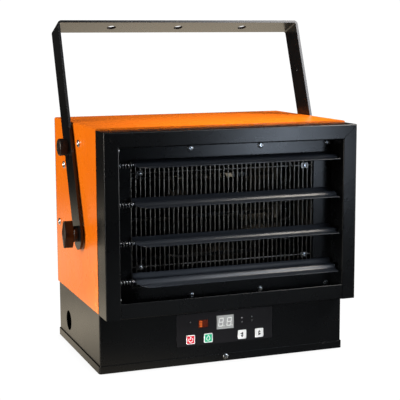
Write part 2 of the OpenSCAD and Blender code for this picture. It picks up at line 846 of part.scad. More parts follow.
// Three poles between ribs, each with a clamping screw
module terminal_block() {
  at = [-side_x + 62, 6, sheet];
  pole = 18;
  color("ivory") translate(at) difference() {
    union() {
      cube([3 * pole + 4, 26, 12]);
      for (k = [0:3]) translate([k * pole, 0, 0]) cube([4, 26, 24]);
      for (k = [0:2]) translate([k * pole + 11, 13, 12]) cylinder(d = 8, h = 4);
    }
    for (k = [0:2]) translate([k * pole + 11, 13, 16]) cube([6, 1, 2], center = true);
  }
}

// Load relay with its coil tabs
module contactor() {
  at = [30, -6, sheet];
  size = [50, 62, 44];
  color("#33363b") translate(at) {
    cube(size);
    translate([-6, 8, 0]) cube([size.x + 12, size.y - 16, 4]);
    for (k = [0:3]) translate([8 + 11 * k, 10, size.z]) cube([1, 7, 8]);
    for (k = [0:3]) translate([8 + 11 * k, size.y - 17, size.z]) cube([1, 7, 8]);
  }
}

module ground_lug() {
  at = [-side_x + 34, 24, sheet];
  color("gold") translate(at) {
    cylinder(d = 5, h = 14);
    cylinder(d = 10, h = 3, $fn = 6);
    translate([0, -4, 3]) cube([16, 8, 1.2]);
    translate([16, -2.5, 1]) cube([12, 5, 4]);
  }
}

// ---------- yoke and knobs ----------

module yoke_place() translate([0, pivot_y, pivot_z]) rotate([-yoke_lean, 0, 0]) children();

module ceiling_yoke() {
  outer_w = 2 * (leg_x + bar_t);
  tail = bar_w / 2 + leg_tail;
  color("#202226")
  yoke_place() difference() {
    intersection() {
      along_y(-bar_w / 2, bar_w) translate([0, -tail]) difference() {
        round_top(outer_w, yoke_reach + tail, yoke_bend_r);
        translate([0, -cut])
          round_top(outer_w - 2 * bar_t, yoke_reach + tail - bar_t + cut, yoke_bend_r - bar_t);
      }
      along_x(-outer_w, 2 * outer_w) {
        translate([-bar_w / 2, -leg_tail]) square([bar_w, yoke_reach + leg_tail + cut]);
        translate([0, -leg_tail]) circle(d = bar_w);
      }
    }
    bar_x([-outer_w, 0, 0], pivot_stud_d + 2 * snug, 2 * outer_w);
    bar_x([-outer_w, 0, index_r], index_d + loose, 2 * outer_w);
    bar_x([-outer_w, 0, tie_hole_reach], tie_hole_d, 2 * outer_w);
    for (k = [-1:1]) translate([k * ceiling_pitch, 0, yoke_reach - 2 * bar_t])
      cylinder(d = ceiling_hole_d, h = 3 * bar_t);
  }
}

// Outline of a wing knob: a round middle that tapers to two round tips
module wings(len, w, r) {
  reach = len / 2 - r;
  taper = asin((w / 2 - r) / reach);
  sink = 0.04;              // the flanks cross the round parts and don't graze them
  near = (w / 2 - sink) * [sin(taper), cos(taper)];
  far = [reach, 0] + (r - sink) * [sin(taper), cos(taper)];
  circle(d = w);
  for (end = [-1, 1]) translate([end * reach, 0]) circle(r = r);
  polygon([
    near, far, [far.x, -far.y], [near.x, -near.y],
    -near, -far, [-far.x, far.y], [-near.x, near.y]
  ]);
}

// Clamping wing knob with a recessed face and a hub against the leg
module pivot_knob(side) {
  seat = leg_gap + bar_t + rest_gap;
  recess = 0.8;
  color("#211d1b")
  translate([side * side_x, pivot_y, pivot_z]) out_of_side(side) {
    translate([0, 0, -stud_in]) cylinder(d = pivot_stud_d, h = stud_in + seat + pivot_hub_t);
    translate([0, 0, seat]) cylinder(d = pivot_hub_d, h = pivot_hub_t);
    translate([0, 0, seat + pivot_hub_t]) difference() {
      linear_extrude(pivot_knob_t) wings(pivot_knob_l, pivot_knob_w, pivot_tip_r);
      translate([0, 0, pivot_knob_t - recess]) linear_extrude(recess + cut)
        wings(pivot_knob_l - 2 * pivot_face_rim, pivot_knob_w - 2 * pivot_face_rim,
              pivot_tip_r - pivot_face_rim);
    }
  }
}

module pivot_knob_left() pivot_knob(-1);
module pivot_knob_right() pivot_knob(1);

// Knurled thumb screw, backed off so that its stud passes the tilt screws' heads
module lock_knob(side) {
  grooves = 30;
  seat = leg_gap + bar_t + rest_gap;
  stud_tip = tilt_head_h + 0.5;
  color("#17181a")
  yoke_place() translate([side * side_x, 0, index_r]) out_of_side(side) {
    translate([0, 0, stud_tip]) cylinder(d = index_d, h = seat - stud_tip + 1);
    translate([0, 0, seat]) difference() {
      union() {
        cylinder(d = lock_knob_d, h = lock_knob_t - 1);
        translate([0, 0, lock_knob_t - 1]) cylinder(d1 = lock_knob_d, d2 = lock_knob_d - 2, h = 1);
      }
      for (k = [0:grooves - 1]) rotate([0, 0, 360 * k / grooves])
        translate([lock_knob_d / 2 + 0.35, 0, 1.2]) cylinder(d = 1.6, h = lock_knob_t);
      translate([0, 0, lock_knob_t - 0.6]) cylinder(d = lock_knob_d * 0.6, h = 2);
    }
  }
}

module lock_knob_left() lock_knob(-1);
module lock_knob_right() lock_knob(1);

module pivot_washers() {
  color("#d8d4c8")
  for (side = [-1, 1]) translate([side * side_x, pivot_y, pivot_z]) out_of_side(side)
    difference() {
      cylinder(d = pivot_stud_d + 12, h = leg_gap - rest_gap);
      translate([0, 0, -cut]) cylinder(d = pivot_stud_d + 2 * snug, h = leg_gap + 2 * cut);
    }
}

// Nuts welded inside the side panels for the pivot studs and the tilt screws
module weld_nuts() {
  color("silver")
  for (side = [-1, 1]) {
    translate([side * (side_x - sheet), pivot_y, pivot_z]) out_of_side(side)
      translate([0, 0, -nut_t]) hex_ring(pivot_stud_d * 1.6, pivot_stud_d + snug, nut_t);
    for (angle = concat(tilt_stops, [yoke_lean]))
      translate([side * (side_x - sheet), tilt_point(angle).x, tilt_point(angle).y])
      out_of_side(side)
      translate([0, 0, -nut_t]) hex_ring(index_d * 1.66, index_d + snug, nut_t);
  }
}

module tilt_screws() {
  color("gainsboro")
  for (side = [-1, 1], angle = tilt_stops)
    translate([side * side_x, tilt_point(angle).x, tilt_point(angle).y]) out_of_side(side)
    pan_screw(index_d, tilt_head_d, tilt_head_h, tilt_len);
}

// ---------- fan and motor ----------

module fan_shroud() {
  edge = 14;
  color("silver")
  difference() {
    union() {
      box([outlet_x0 - edge, duct_back, shell_z],
          [outlet_x1 + edge, duct_back + sheet, outlet_z1 + edge]);
      bar_y([outlet_shift, duct_back, outlet_mid], 2 * (ring_r + sheet), ring_depth);
    }
    bar_y([outlet_shift, duct_back - cut, outlet_mid], 2 * ring_r, ring_depth + 2 * cut);
    for (x = [-1, 1])
      bar_y([outlet_shift + x * strap_screw_x, duct_back - cut, outlet_mid],
            inner_d + loose, sheet + 2 * cut);
  }
}

module fan_blade() {
  color("#9a9da1")
  translate([outlet_shift, fan_y, outlet_mid]) rotate([-90, 0, 0]) difference() {
    union() {
      cylinder(d = hub_d, h = hub_len);
      intersection() {
        cylinder(d = fan_d, h = ring_depth);
        for (k = [0:blade_count - 1]) rotate([0, 0, 360 * k / blade_count])
          translate([0, 0, hub_len / 2]) rotate([blade_pitch, 0, 0])
          translate([hub_d / 2 - 2, -blade_chord / 2, -blade_t / 2])
          cube([fan_d / 2, blade_chord, blade_t]);
      }
    }
    translate([0, 0, -cut]) cylinder(d = shaft_d + 0.04, h = hub_len + 2 * cut);
  }
}

module motor_shaft() {
  color("silver")
  bar_y([outlet_shift, duct_back - motor_len, outlet_mid], shaft_d,
        fan_y + hub_len - duct_back + motor_len);
}

module fan_motor() {
  rear = duct_back - strap_t;
  bell = 4;
  color("#55585c")
  translate([outlet_shift, rear - motor_len, outlet_mid]) rotate([-90, 0, 0]) difference() {
    union() {
      cylinder(d1 = motor_d - 2 * bell, d2 = motor_d, h = bell);
      translate([0, 0, bell]) cylinder(d = motor_d, h = motor_len - 2 * bell);
      translate([0, 0, motor_len - bell])
        cylinder(d1 = motor_d, d2 = motor_d - 2 * bell, h = bell);
    }
    translate([0, 0, strap_t - 0.3]) cylinder(d = shaft_d + snug, h = motor_len);
    for (x = [-1, 1]) translate([x * motor_screw_x, 0, motor_len - inner_len])
      cylinder(d = inner_d + thread_gap, h = inner_len + cut);
  }
}

module motor_strap() {
  color("silver")
  difference() {
    box([outlet_shift - strap_half, duct_back - strap_t, outlet_mid - strap_h / 2],
        [outlet_shift + strap_half, duct_back, outlet_mid + strap_h / 2]);
    bar_y([outlet_shift, duct_back - 2 * strap_t, outlet_mid], shaft_d + 8, 3 * strap_t);
    for (x = [-1, 1]) {
      bar_y([outlet_shift + x * strap_screw_x, duct_back - 2 * strap_t, outlet_mid],
            inner_d + loose, 3 * strap_t);
      bar_y([outlet_shift + x * motor_screw_x, duct_back - 2 * strap_t, outlet_mid],
            inner_d + loose, 3 * strap_t);
    }
  }
}

// ---------- heating elements ----------

function element_z(i) = outlet_mid + (1 - i) * element_pitch;

// Outline of one finned leg, turned about its own axis
function fin_outline(from, total) = concat(
  [[0, 0], [tube_d / 2, 0]],
  [for (k = [0:fin_count - 1]) each [
    [tube_d / 2, from + k * fin_pitch],
    [fin_d / 2, from + k * fin_pitch],
    [fin_d / 2, from + k * fin_pitch + fin_t],
    [tube_d / 2, from + k * fin_pitch + fin_t]
  ]],
  [[tube_d / 2, total], [0, total]]
);

module heating_element(i) {
  length = element_bend_x - element_x0;
  color("#7c7f83")
  translate([element_x0, element_y, element_z(i)]) {
    for (leg = [-1, 1]) translate([0, 0, leg * leg_pitch / 2]) {
      rotate([0, 90, 0]) rotate_extrude()
        polygon(fin_outline(fin_x0 - element_x0, length));
      bar_x([-8, 0, 0], 3.5, 9);
    }
    translate([length, 0, 0]) rotate([90, 0, 0]) rotate([0, 0, -90])
      rotate_extrude(angle = 180) translate([leg_pitch / 2, 0]) circle(d = tube_d);
  }
}

module heating_element_1() heating_element(0);
module heating_element_2() heating_element(1);
module heating_element_3() heating_element(2);

module element_support() {
  half_d = fin_d / 2 + 3;
  color("silver")
  difference() {
    union() {
      box([support_x, element_y - half_d, outlet_z0],
          [support_x + support_t, element_y + half_d, outlet_z1]);
      for (z = [outlet_z0, outlet_z1 - sheet])
        box([support_x, element_y - half_d, z], [support_x + 9, element_y + half_d, z + sheet]);
    }
    for (i = [0:2], leg = [-1, 1])
      bar_x([support_x - cut, element_y, element_z(i) + leg * leg_pitch / 2],
            tube_d + loose, support_t + 2 * cut);
  }
}

// Disc thermostat on the duct's roof
module thermal_cutout() {
  color("#e8e4da")
  translate([outlet_shift + 40, element_y, outlet_z1 + sheet]) {
    translate([-12, -5, 0]) cube([24, 10, 1]);
    cylinder(d = 16, h = 7);
    for (x = [-4, 4]) translate([x - 0.4, -3, 7]) cube([0.8, 6, 7]);
  }
}

// ---------- fasteners ----------

module cover_screw() pan_screw(cover_d, cover_head_d, cover_head_h, cover_len);

module cover_screws() {
  color("gainsboro") {
    for (spot = plate_spots) translate([spot.x, plate_y, spot.y]) rotate([90, 0, 0])
      cover_screw();
    for (spot = rear_spots) translate([spot.x, back_y, spot.y]) rotate([-90, 0, 0])
      cover_screw();
    for (spot = rear_ears) translate([spot.x, back_y + rear_wire_d, spot.y]) rotate([-90, 0, 0])
      cover_screw();
    for (side = [-1, 1]) translate([0, side * back_y, lip_screw_z]) rotate([-side * 90, 0, 0])
      cover_screw();
  }
}

module inner_screw(len) pan_screw(inner_d, 2 * inner_d, inner_head_h, len);

module guard_screws() {
  color("gainsboro")
  for (spot = guard_spots) translate([spot.x, guard_front, spot.y]) rotate([90, 0, 0])
    inner_screw(guard_screw_len);
}

module inner_screws() {
  color("silver") {
    for (x = [-1, 1], z = [-1, 1])
      translate([x * spacer_x, board_y + board_t, overlay_z + z * spacer_z]) rotate([-90, 0, 0])
      inner_screw(inner_len);
    for (x = [-1, 1])
      translate([outlet_shift + x * motor_screw_x, duct_back, outlet_mid]) rotate([-90, 0, 0])
      inner_screw(inner_len);
    for (x = [-1, 1])
      translate([outlet_shift + x * strap_screw_x, duct_back - strap_t, outlet_mid])
      rotate([90, 0, 0]) inner_screw(inner_len);
  }
}

outer_shell();
rear_panel();
rear_fan_guard();
frame_top_rail();
frame_left_stile();
frame_right_stile();
frame_bottom_rail();
outlet_plate();
air_duct();
outlet_guard();
louvre_1();
louvre_2();
louvre_3();
louvre_4();
louvre_rod_1();
louvre_rod_2();
louvre_rod_3();
louvre_rod_4();
louvre_spring_1();
louvre_spring_2();
louvre_spring_3();
louvre_spring_4();
base_box();
base_tray();
base_deck();
control_overlay();
display_module();
indicator_window();
status_leds();
button_power();
button_mode();
button_up();
button_down();
control_board();
key_switches();
board_spacers();
ceiling_yoke();
pivot_knob_left();
pivot_knob_right();
lock_knob_left();
lock_knob_right();
pivot_washers();
weld_nuts();
fan_shroud();
fan_blade();
motor_shaft();
fan_motor();
motor_strap();
heating_element_1();
heating_element_2();
heating_element_3();
element_support();
thermal_cutout();
terminal_block();
contactor();
ground_lug();
tilt_screws();
cover_screws();
guard_screws();
inner_screws();
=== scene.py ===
import math

import bpy
from mathutils import Matrix, Vector


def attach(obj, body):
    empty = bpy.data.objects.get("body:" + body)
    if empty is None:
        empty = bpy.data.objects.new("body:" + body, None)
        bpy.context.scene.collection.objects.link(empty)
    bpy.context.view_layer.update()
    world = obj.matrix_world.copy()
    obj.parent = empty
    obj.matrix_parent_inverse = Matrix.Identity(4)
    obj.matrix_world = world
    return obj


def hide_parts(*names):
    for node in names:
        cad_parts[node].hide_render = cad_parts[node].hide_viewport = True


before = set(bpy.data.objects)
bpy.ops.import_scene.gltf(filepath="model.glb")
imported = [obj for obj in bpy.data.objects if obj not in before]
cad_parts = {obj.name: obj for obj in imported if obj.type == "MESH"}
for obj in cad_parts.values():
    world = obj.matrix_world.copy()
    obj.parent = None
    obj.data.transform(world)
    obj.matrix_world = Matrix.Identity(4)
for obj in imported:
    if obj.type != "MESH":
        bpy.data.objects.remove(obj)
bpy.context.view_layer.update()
scene = bpy.context.scene
mm = 0.001
print("stage: frame loaded,", len(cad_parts), "nodes")


# Working habits: one piece selected at a time, sizes in millimetres until they reach Blender

def only(piece):
    bpy.ops.object.select_all(action="DESELECT")
    piece.select_set(True)
    bpy.context.view_layer.objects.active = piece
    return piece


def fresh(name):  # the primitive just added, under its own name
    piece = bpy.context.view_layer.objects.active
    piece.name = piece.data.name = name
    only(piece)
    bpy.ops.object.transform_apply(location=True, rotation=True, scale=True)
    return piece


def editMode(piece, kind):
    only(piece)
    bpy.ops.object.mode_set(mode="EDIT")
    bpy.ops.mesh.select_mode(type=kind)


def objectMode():
    bpy.ops.object.mode_set(mode="OBJECT")


def pickFaces(piece, test):  # in edit mode: faces by their centre and normal
    bpy.ops.mesh.select_mode(type="FACE")
    bpy.ops.mesh.select_all(action="DESELECT")
    objectMode()
    for face in piece.data.polygons:
        face.select = test(face.center, face.normal)
    bpy.ops.object.mode_set(mode="EDIT")


def pickEdges(piece, test):  # in edit mode: edges by their two ends
    bpy.ops.mesh.select_mode(type="EDGE")
    bpy.ops.mesh.select_all(action="DESELECT")
    objectMode()
    points = piece.data.vertices
    for edge in piece.data.edges:
        edge.select = test(points[edge.vertices[0]].co, points[edge.vertices[1]].co)
    bpy.ops.object.mode_set(mode="EDIT")


def applied(piece, kind, **settings):
    only(piece)
    bpy.ops.object.modifier_add(type=kind)
    modifier = piece.modifiers[-1]
    for key, value in settings.items():
        setattr(modifier, key, value)
    bpy.ops.object.modifier_apply(modifier=modifier.name)


def smoothed(piece, degrees=32):
    only(piece)
    bpy.ops.object.shade_smooth_by_angle(angle=math.radians(degrees))
    return piece


def joined(name, parts):
    only(parts[0])
    for part in parts:
        part.select_set(True)
    if len(parts) > 1:
        bpy.ops.object.join()
    parts[0].name = parts[0].data.name = name
    return parts[0]


def copied(piece, matrix):
    twin = bpy.data.objects.new(piece.name, piece.data.copy())
    bpy.context.collection.objects.link(twin)
    twin.data.transform(matrix)
    return twin


def settled(piece, body, materials, nodes=()):
    only(piece)
    bpy.ops.object.transform_apply(location=True, rotation=True, scale=True)
    for k, material in enumerate(materials):
        if k < len(piece.data.materials):
            piece.data.materials[k] = material
        else:
            piece.data.materials.append(material)
    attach(piece, body)
    if nodes:
        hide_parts(*nodes)
    return piece


# Materials

def colour(code):  # sRGB hex to linear
    parts = [int(code[k:k + 2], 16) / 255 for k in (1, 3, 5)]
    return [c / 12.92 if c <= 0.04045 else ((c + 0.055) / 1.055) ** 2.4 for c in parts] + [1]


def addNode(tree, kind, settings=None, links=None):
    node = tree.nodes.new(kind)
    for key, value in (settings or {}).items():
        if isinstance(key, int) or key in node.inputs:
            node.inputs[key].default_value = value
        else:
            setattr(node, key, value)
    for key, socket in (links or {}).items():
        tree.links.new(socket, node.inputs[key])
    return node


def coated(name, **shader):  # a material with its shader, and the place on the object in metres
    material = bpy.data.materials.new(name)
    material.use_nodes = True
    tree = material.node_tree
    tree.nodes.clear()
    surface = addNode(tree, "ShaderNodeBsdfPrincipled", {
        key.replace("_", " "): value for key, value in shader.items()})
    addNode(tree, "ShaderNodeOutputMaterial", {}, {"Surface": surface.outputs["BSDF"]})
    place = addNode(tree, "ShaderNodeTexCoord").outputs["Object"]
    return material, tree, surface, place


noiseSpan = {"From Min": 0.3, "From Max": 0.7}  # where nearly all of a noise texture's values lie


def toned(tree, surface, place, first, second, size):
    # colour drifts between two close tones in patches of the given size in mm
    patch = addNode(tree, "ShaderNodeTexNoise", {"Scale": 1 / (size * mm), "Detail": 3}, {"Vector": place})
    spread = addNode(tree, "ShaderNodeMapRange", noiseSpan, {"Value": patch.outputs["Fac"]})
    mixed = addNode(tree, "ShaderNodeMix", {"data_type": "RGBA", 6: colour(first), 7: colour(second)},
                    {0: spread.outputs["Result"]})
    tree.links.new(mixed.outputs[2], surface.inputs["Base Color"])


def roughened(tree, surface, place, low, high, size):
    # gloss drifts between two roughnesses in patches of the given size in mm
    blur = addNode(tree, "ShaderNodeTexNoise", {"Scale": 1 / (size * mm), "Detail": 4}, {"Vector": place})
    level = addNode(tree, "ShaderNodeMapRange", {**noiseSpan, "To Min": low, "To Max": high},
                    {"Value": blur.outputs["Fac"]})
    tree.links.new(level.outputs["Result"], surface.inputs["Roughness"])


def embossed(tree, surface, height, depth):  # depth in mm
    relief = addNode(tree, "ShaderNodeBump", {"Strength": 1, "Distance": depth * mm}, {"Height": height})
    tree.links.new(relief.outputs["Normal"], surface.inputs["Normal"])


def powderCoat(name, look):
    # baked polyester powder flows out like orange peel: a soft ripple, 1 to 3 mm from crest to crest
    material, tree, surface, place = coated(name, IOR=1.5)
    toned(tree, surface, place, look["tone"], look["deepTone"], 60)
    roughened(tree, surface, place, look["rough"][0], look["rough"][1], 40)
    peel = addNode(tree, "ShaderNodeTexNoise", {"Scale": 1 / (look["peel"] * mm), "Detail": 2},
                   {"Vector": place})
    embossed(tree, surface, peel.outputs["Fac"], look["peelDepth"])
    return material


def brightPlate(name, look):
    # zinc electroplate: a bright metal with a faint blue and straw drift and fine handling marks
    material, tree, surface, place = coated(name, Metallic=1)
    toned(tree, surface, place, look["tone"], look["deepTone"], look["patch"])
    roughened(tree, surface, place, look["rough"][0], look["rough"][1], look["patch"] / 3)
    marks = addNode(tree, "ShaderNodeTexNoise", {"Scale": 1 / (0.5 * mm), "Detail": 3}, {"Vector": place})
    embossed(tree, surface, marks.outputs["Fac"], 0.02)
    return material


def galvanised(name, look):
    # hot-dip zinc freezes in spangles 8 to 15 mm across, each with its own grey and gloss
    material, tree, surface, place = coated(name, Metallic=1)
    spangle = addNode(tree, "ShaderNodeTexVoronoi", {"Scale": 1 / (look["spangle"] * mm)}, {"Vector": place})
    grey = addNode(tree, "ShaderNodeSeparateColor", {}, {"Color": spangle.outputs["Color"]})
    mixed = addNode(tree, "ShaderNodeMix", {
        "data_type": "RGBA", 6: colour(look["tone"]), 7: colour(look["deepTone"])}, {0: grey.outputs["Red"]})
    tree.links.new(mixed.outputs[2], surface.inputs["Base Color"])
    gloss = addNode(tree, "ShaderNodeMapRange", {"To Min": look["rough"][0], "To Max": look["rough"][1]},
                    {"Value": grey.outputs["Green"]})
    tree.links.new(gloss.outputs["Result"], surface.inputs["Roughness"])
    grain = addNode(tree, "ShaderNodeTexNoise", {"Scale": 1 / (0.9 * mm)}, {"Vector": place})
    embossed(tree, surface, grain.outputs["Fac"], 0.03)
    return material


def drawnMetal(name, look):
    # drawn or turned metal: fine lines along one axis
    material, tree, surface, place = coated(name, Metallic=1)
    toned(tree, surface, place, look["tone"], look["deepTone"], look["patch"])
    stretched = addNode(tree, "ShaderNodeMapping", {"Scale": look["stretch"]}, {"Vector": place})
    lines = addNode(tree, "ShaderNodeTexNoise", {"Scale": 1 / (0.6 * mm), "Detail": 3},
                    {"Vector": stretched.outputs["Vector"]})
    level = addNode(tree, "ShaderNodeMapRange", {
        **noiseSpan, "To Min": look["rough"][0], "To Max": look["rough"][1]}, {"Value": lines.outputs["Fac"]})
    tree.links.new(level.outputs["Result"], surface.inputs["Roughness"])
    embossed(tree, surface, lines.outputs["Fac"], 0.02)
    return material


def mouldedPlastic(name, look):
    # spark-eroded mould texture: a fine even grain, half a millimetre or more so that it can show
    material, tree, surface, place = coated(name, IOR=look.get("ior", 1.46))
    toned(tree, surface, place, look["tone"], look["deepTone"], 25)
    roughened(tree, surface, place, look["rough"][0], look["rough"][1], 6)
    grain = addNode(tree, "ShaderNodeTexNoise", {"Scale": 1 / (look["grain"] * mm), "Detail": 2},
                    {"Vector": place})
    embossed(tree, surface, grain.outputs["Fac"], look["grainDepth"])
    return material


def glowing(name, look):  # a lit lamp behind tinted resin, a little uneven
    material, tree, surface, place = coated(name, IOR=1.5, Roughness=0.25)
    toned(tree, surface, place, look["tone"], look["deepTone"], 2)
    flicker = addNode(tree, "ShaderNodeTexNoise", {"Scale": 1 / (1.5 * mm)}, {"Vector": place})
    tint = addNode(tree, "ShaderNodeMix", {
        "data_type": "RGBA", 6: colour(look["glow"]), 7: colour(look["core"])}, {0: flicker.outputs["Fac"]})
    tree.links.new(tint.outputs[2], surface.inputs["Emission Color"])
    surface.inputs["Emission Strength"].default_value = look["strength"]
    return material


orangePowder = powderCoat("orangePolyesterPowderCoat", {
    "tone": "#fa7d12", "deepTone": "#f67810", "rough": (0.25, 0.29), "peel": 3.2, "peelDepth": 0.001})
blackPowder = powderCoat("blackSatinPowderCoat", {
    "tone": "#0f1011", "deepTone": "#0d0e0f", "rough": (0.26, 0.29), "peel": 1.6, "peelDepth": 0.005})
# painted shade: a near-black, dull powder for the walls of the yoke's holes, so that they read as dark
boreShadePowder = powderCoat("paintedShadeInHoles", {
    "tone": "#070708", "deepTone": "#050506", "rough": (0.75, 0.85), "peel": 1.2, "peelDepth": 0.005})
louvrePowder = powderCoat("slateSatinPowderCoat", {
    "tone": "#2c3036", "deepTone": "#282c32", "rough": (0.28, 0.33), "peel": 1.8, "peelDepth": 0.006})
motorPaint = powderCoat("darkGreyMotorEnamel", {
    "tone": "#3a3c40", "deepTone": "#303236", "rough": (0.35, 0.5), "peel": 1.2, "peelDepth": 0.03})
zincPlate = brightPlate("brightZincPlate", {
    "tone": "#dfe3e6", "deepTone": "#c9ced3", "rough": (0.2, 0.32), "patch": 5})
guardWire = brightPlate("nickelPlatedWire", {
    "tone": "#84837f", "deepTone": "#6d6c69", "rough": (0.26, 0.36), "patch": 12})
galvanisedSheet = galvanised("galvanisedSheetSteel", {
    "tone": "#5f6264", "deepTone": "#46494b", "rough": (0.32, 0.52), "spangle": 11})
# the fin steel's dark tone is partly its own colour and partly painted shade of the inside of the duct
elementSteel = drawnMetal("darkenedFinSteel", {
    "tone": "#3c3936", "deepTone": "#2b2825", "patch": 16, "rough": (0.35, 0.5), "stretch": (8, 1, 1)})
shaftSteel = drawnMetal("groundShaftSteel", {
    "tone": "#b9bcbf", "deepTone": "#a4a7aa", "patch": 9, "rough": (0.18, 0.3), "stretch": (1, 8, 1)})
fanAluminium = drawnMetal("pressedFanAluminium", {
    "tone": "#b4b8bb", "deepTone": "#9da1a5", "patch": 20, "rough": (0.28, 0.4), "stretch": (1, 1, 6)})
blackOxide = drawnMetal("blackOxideRodSteel", {
    "tone": "#2a2b2d", "deepTone": "#1e1f21", "patch": 9, "rough": (0.3, 0.42), "stretch": (0.2, 4, 4)})
turnedBrass = drawnMetal("turnedBrass", {
    "tone": "#d3a955", "deepTone": "#b98f3f", "patch": 4, "rough": (0.22, 0.34), "stretch": (1, 6, 1)})
overlayFilm = mouldedPlastic("texturedPolycarbonateFilm", {
    "tone": "#151416", "deepTone": "#131214", "rough": (0.48, 0.56),
    "grain": 0.5, "grainDepth": 0.02, "ior": 1.58})
displayResin = mouldedPlastic("greyDisplayResin", {
    "tone": "#a9aaa9", "deepTone": "#a0a1a0", "rough": (0.3, 0.4), "grain": 0.5, "grainDepth": 0.01})
digitResin = mouldedPlastic("milkyDigitResin", {
    "tone": "#e9ebe8", "deepTone": "#dfe1de", "rough": (0.25, 0.35), "grain": 0.5, "grainDepth": 0.01})
whiteCap = mouldedPlastic("glossWhiteSiliconeCap", {
    "tone": "#f2f2f0", "deepTone": "#e9e9e6", "rough": (0.3, 0.4), "grain": 0.6, "grainDepth": 0.01})
redFace = mouldedPlastic("printedRedFace", {
    "tone": "#f0283c", "deepTone": "#e22036", "rough": (0.35, 0.45), "grain": 0.5, "grainDepth": 0.01})
greenFace = mouldedPlastic("printedGreenFace", {
    "tone": "#12c08a", "deepTone": "#0cb07d", "rough": (0.35, 0.45), "grain": 0.5, "grainDepth": 0.01})
blackPrint = mouldedPlastic("printedBlackInk", {
    "tone": "#161618", "deepTone": "#101012", "rough": (0.4, 0.5), "grain": 0.4, "grainDepth": 0.01})
redLens = mouldedPlastic("redBrownAcrylicLens", {
    "tone": "#5c2517", "deepTone": "#4a1c12", "rough": (0.12, 0.2),
    "grain": 2, "grainDepth": 0.01, "ior": 1.49})
lampResin = mouldedPlastic("milkyLampResin", {
    "tone": "#a6a8a8", "deepTone": "#8f9191", "rough": (0.15, 0.25), "grain": 1, "grainDepth": 0.01})
litLamp = glowing("litOrangeLamp", {
    "tone": "#a8481f", "deepTone": "#8c3a18", "glow": "#ff5a1c", "core": "#ff9a4a", "strength": 0.3})
knobPlastic = mouldedPlastic("ribbedPhenolicKnob", {
    "tone": "#24140f", "deepTone": "#1c100c", "rough": (0.35, 0.45),
    "grain": 0.8, "grainDepth": 0.03, "ior": 1.5})
darkPlastic = mouldedPlastic("blackNylonMoulding", {
    "tone": "#1e1512", "deepTone": "#17100e", "rough": (0.38, 0.5),
    "grain": 0.6, "grainDepth": 0.03, "ior": 1.53})
whiteNylon = mouldedPlastic("whiteNylonWasher", {
    "tone": "#dcd8cc", "deepTone": "#cfcabd", "rough": (0.4, 0.5),
    "grain": 0.8, "grainDepth": 0.02, "ior": 1.53})
ceramic = mouldedPlastic("glazedSteatite", {
    "tone": "#e6e0d2", "deepTone": "#d6cfbf", "rough": (0.3, 0.45),
    "grain": 1.2, "grainDepth": 0.03, "ior": 1.6})
circuitBoard = mouldedPlastic("greenSolderMask", {
    "tone": "#0f4a24", "deepTone": "#0b3a1b", "rough": (0.25, 0.4),
    "grain": 2.2, "grainDepth": 0.03, "ior": 1.55})
print("stage: materials made,", len(bpy.data.materials))


# Every CAD node gets its finish here; those replaced further down keep it for their own copy

nodeFinish = {
    orangePowder: ["outer_shell"],
    blackPowder: ["rear_panel", "rear_fan_guard", "frame_top_rail", "frame_left_stile", "frame_right_stile",
                  "frame_bottom_rail", "outlet_plate", "base_box", "base_tray", "ceiling_yoke"],
    louvrePowder: ["louvre_1", "louvre_2", "louvre_3", "louvre_4"],
    blackOxide: ["louvre_rod_1", "louvre_rod_2", "louvre_rod_3", "louvre_rod_4"],
    zincPlate: ["louvre_spring_1", "louvre_spring_2", "louvre_spring_3", "louvre_spring_4",
                "tilt_screws", "cover_screws", "guard_screws", "inner_screws", "weld_nuts"],
    galvanisedSheet: ["air_duct", "base_deck", "fan_shroud", "motor_strap", "element_support"],
    guardWire: ["outlet_guard"],
    elementSteel: ["heating_element_1", "heating_element_2", "heating_element_3"],
    shaftSteel: ["motor_shaft"],
    fanAluminium: ["fan_blade"],
    motorPaint: ["fan_motor"],
    turnedBrass: ["board_spacers", "ground_lug"],
    overlayFilm: ["control_overlay"],
    displayResin: ["display_module"],
    redLens: ["indicator_window"],
    lampResin: ["status_leds"],
    redFace: ["button_power"],
    greenFace: ["button_mode"],
    whiteCap: ["button_up", "button_down"],
    knobPlastic: ["pivot_knob_left", "pivot_knob_right"],
    darkPlastic: ["lock_knob_left", "lock_knob_right", "key_switches", "contactor"],
    whiteNylon: ["pivot_washers"],
    ceramic: ["thermal_cutout", "terminal_block"],
    circuitBoard: ["control_board"],
}
for material, names in nodeFinish.items():
    for name in names:
        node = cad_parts[name]
        node.data.materials.clear()
        node.data.materials.append(material)


# Where the yoke turns and how far it leans, in mm and degrees

pivot = {"y": -32, "z": 175, "circle": 122, "lean": 20.8, "side": 178}
lean = math.radians(pivot["lean"])


# Folded sheet, bar and mouldings: a merged copy of the node with its cut edges broken

softEdges = {  # node: (piece, edge break in mm, body)
    "outer_shell": ("housingWrap", 0.3, "heater"),
    "rear_panel": ("rearPanel", 0.3, "heater"),
    "frame_top_rail": ("topRail", 0.45, "heater"),
    "frame_left_stile": ("leftStile", 0.45, "heater"),
    "frame_right_stile": ("rightStile", 0.45, "heater"),
    "frame_bottom_rail": ("bottomRail", 0.45, "heater"),
    "outlet_plate": ("outletPlate", 0.25, "heater"),
    "air_duct": ("airDuct", 0.2, "heater"),
    "base_box": ("baseBox", 0.3, "heater"),
    "base_tray": ("baseTray", 0.35, "heater"),
    "base_deck": ("baseDeck", 0.2, "heater"),
    "control_overlay": ("controlOverlay", 0.15, "heater"),
    "display_module": ("displayBody", 0.15, "heater"),
    "ceiling_yoke": ("ceilingYoke", 1.0, "yoke"),
    "pivot_washers": ("pivotWashers", 0.3, "heater"),
}


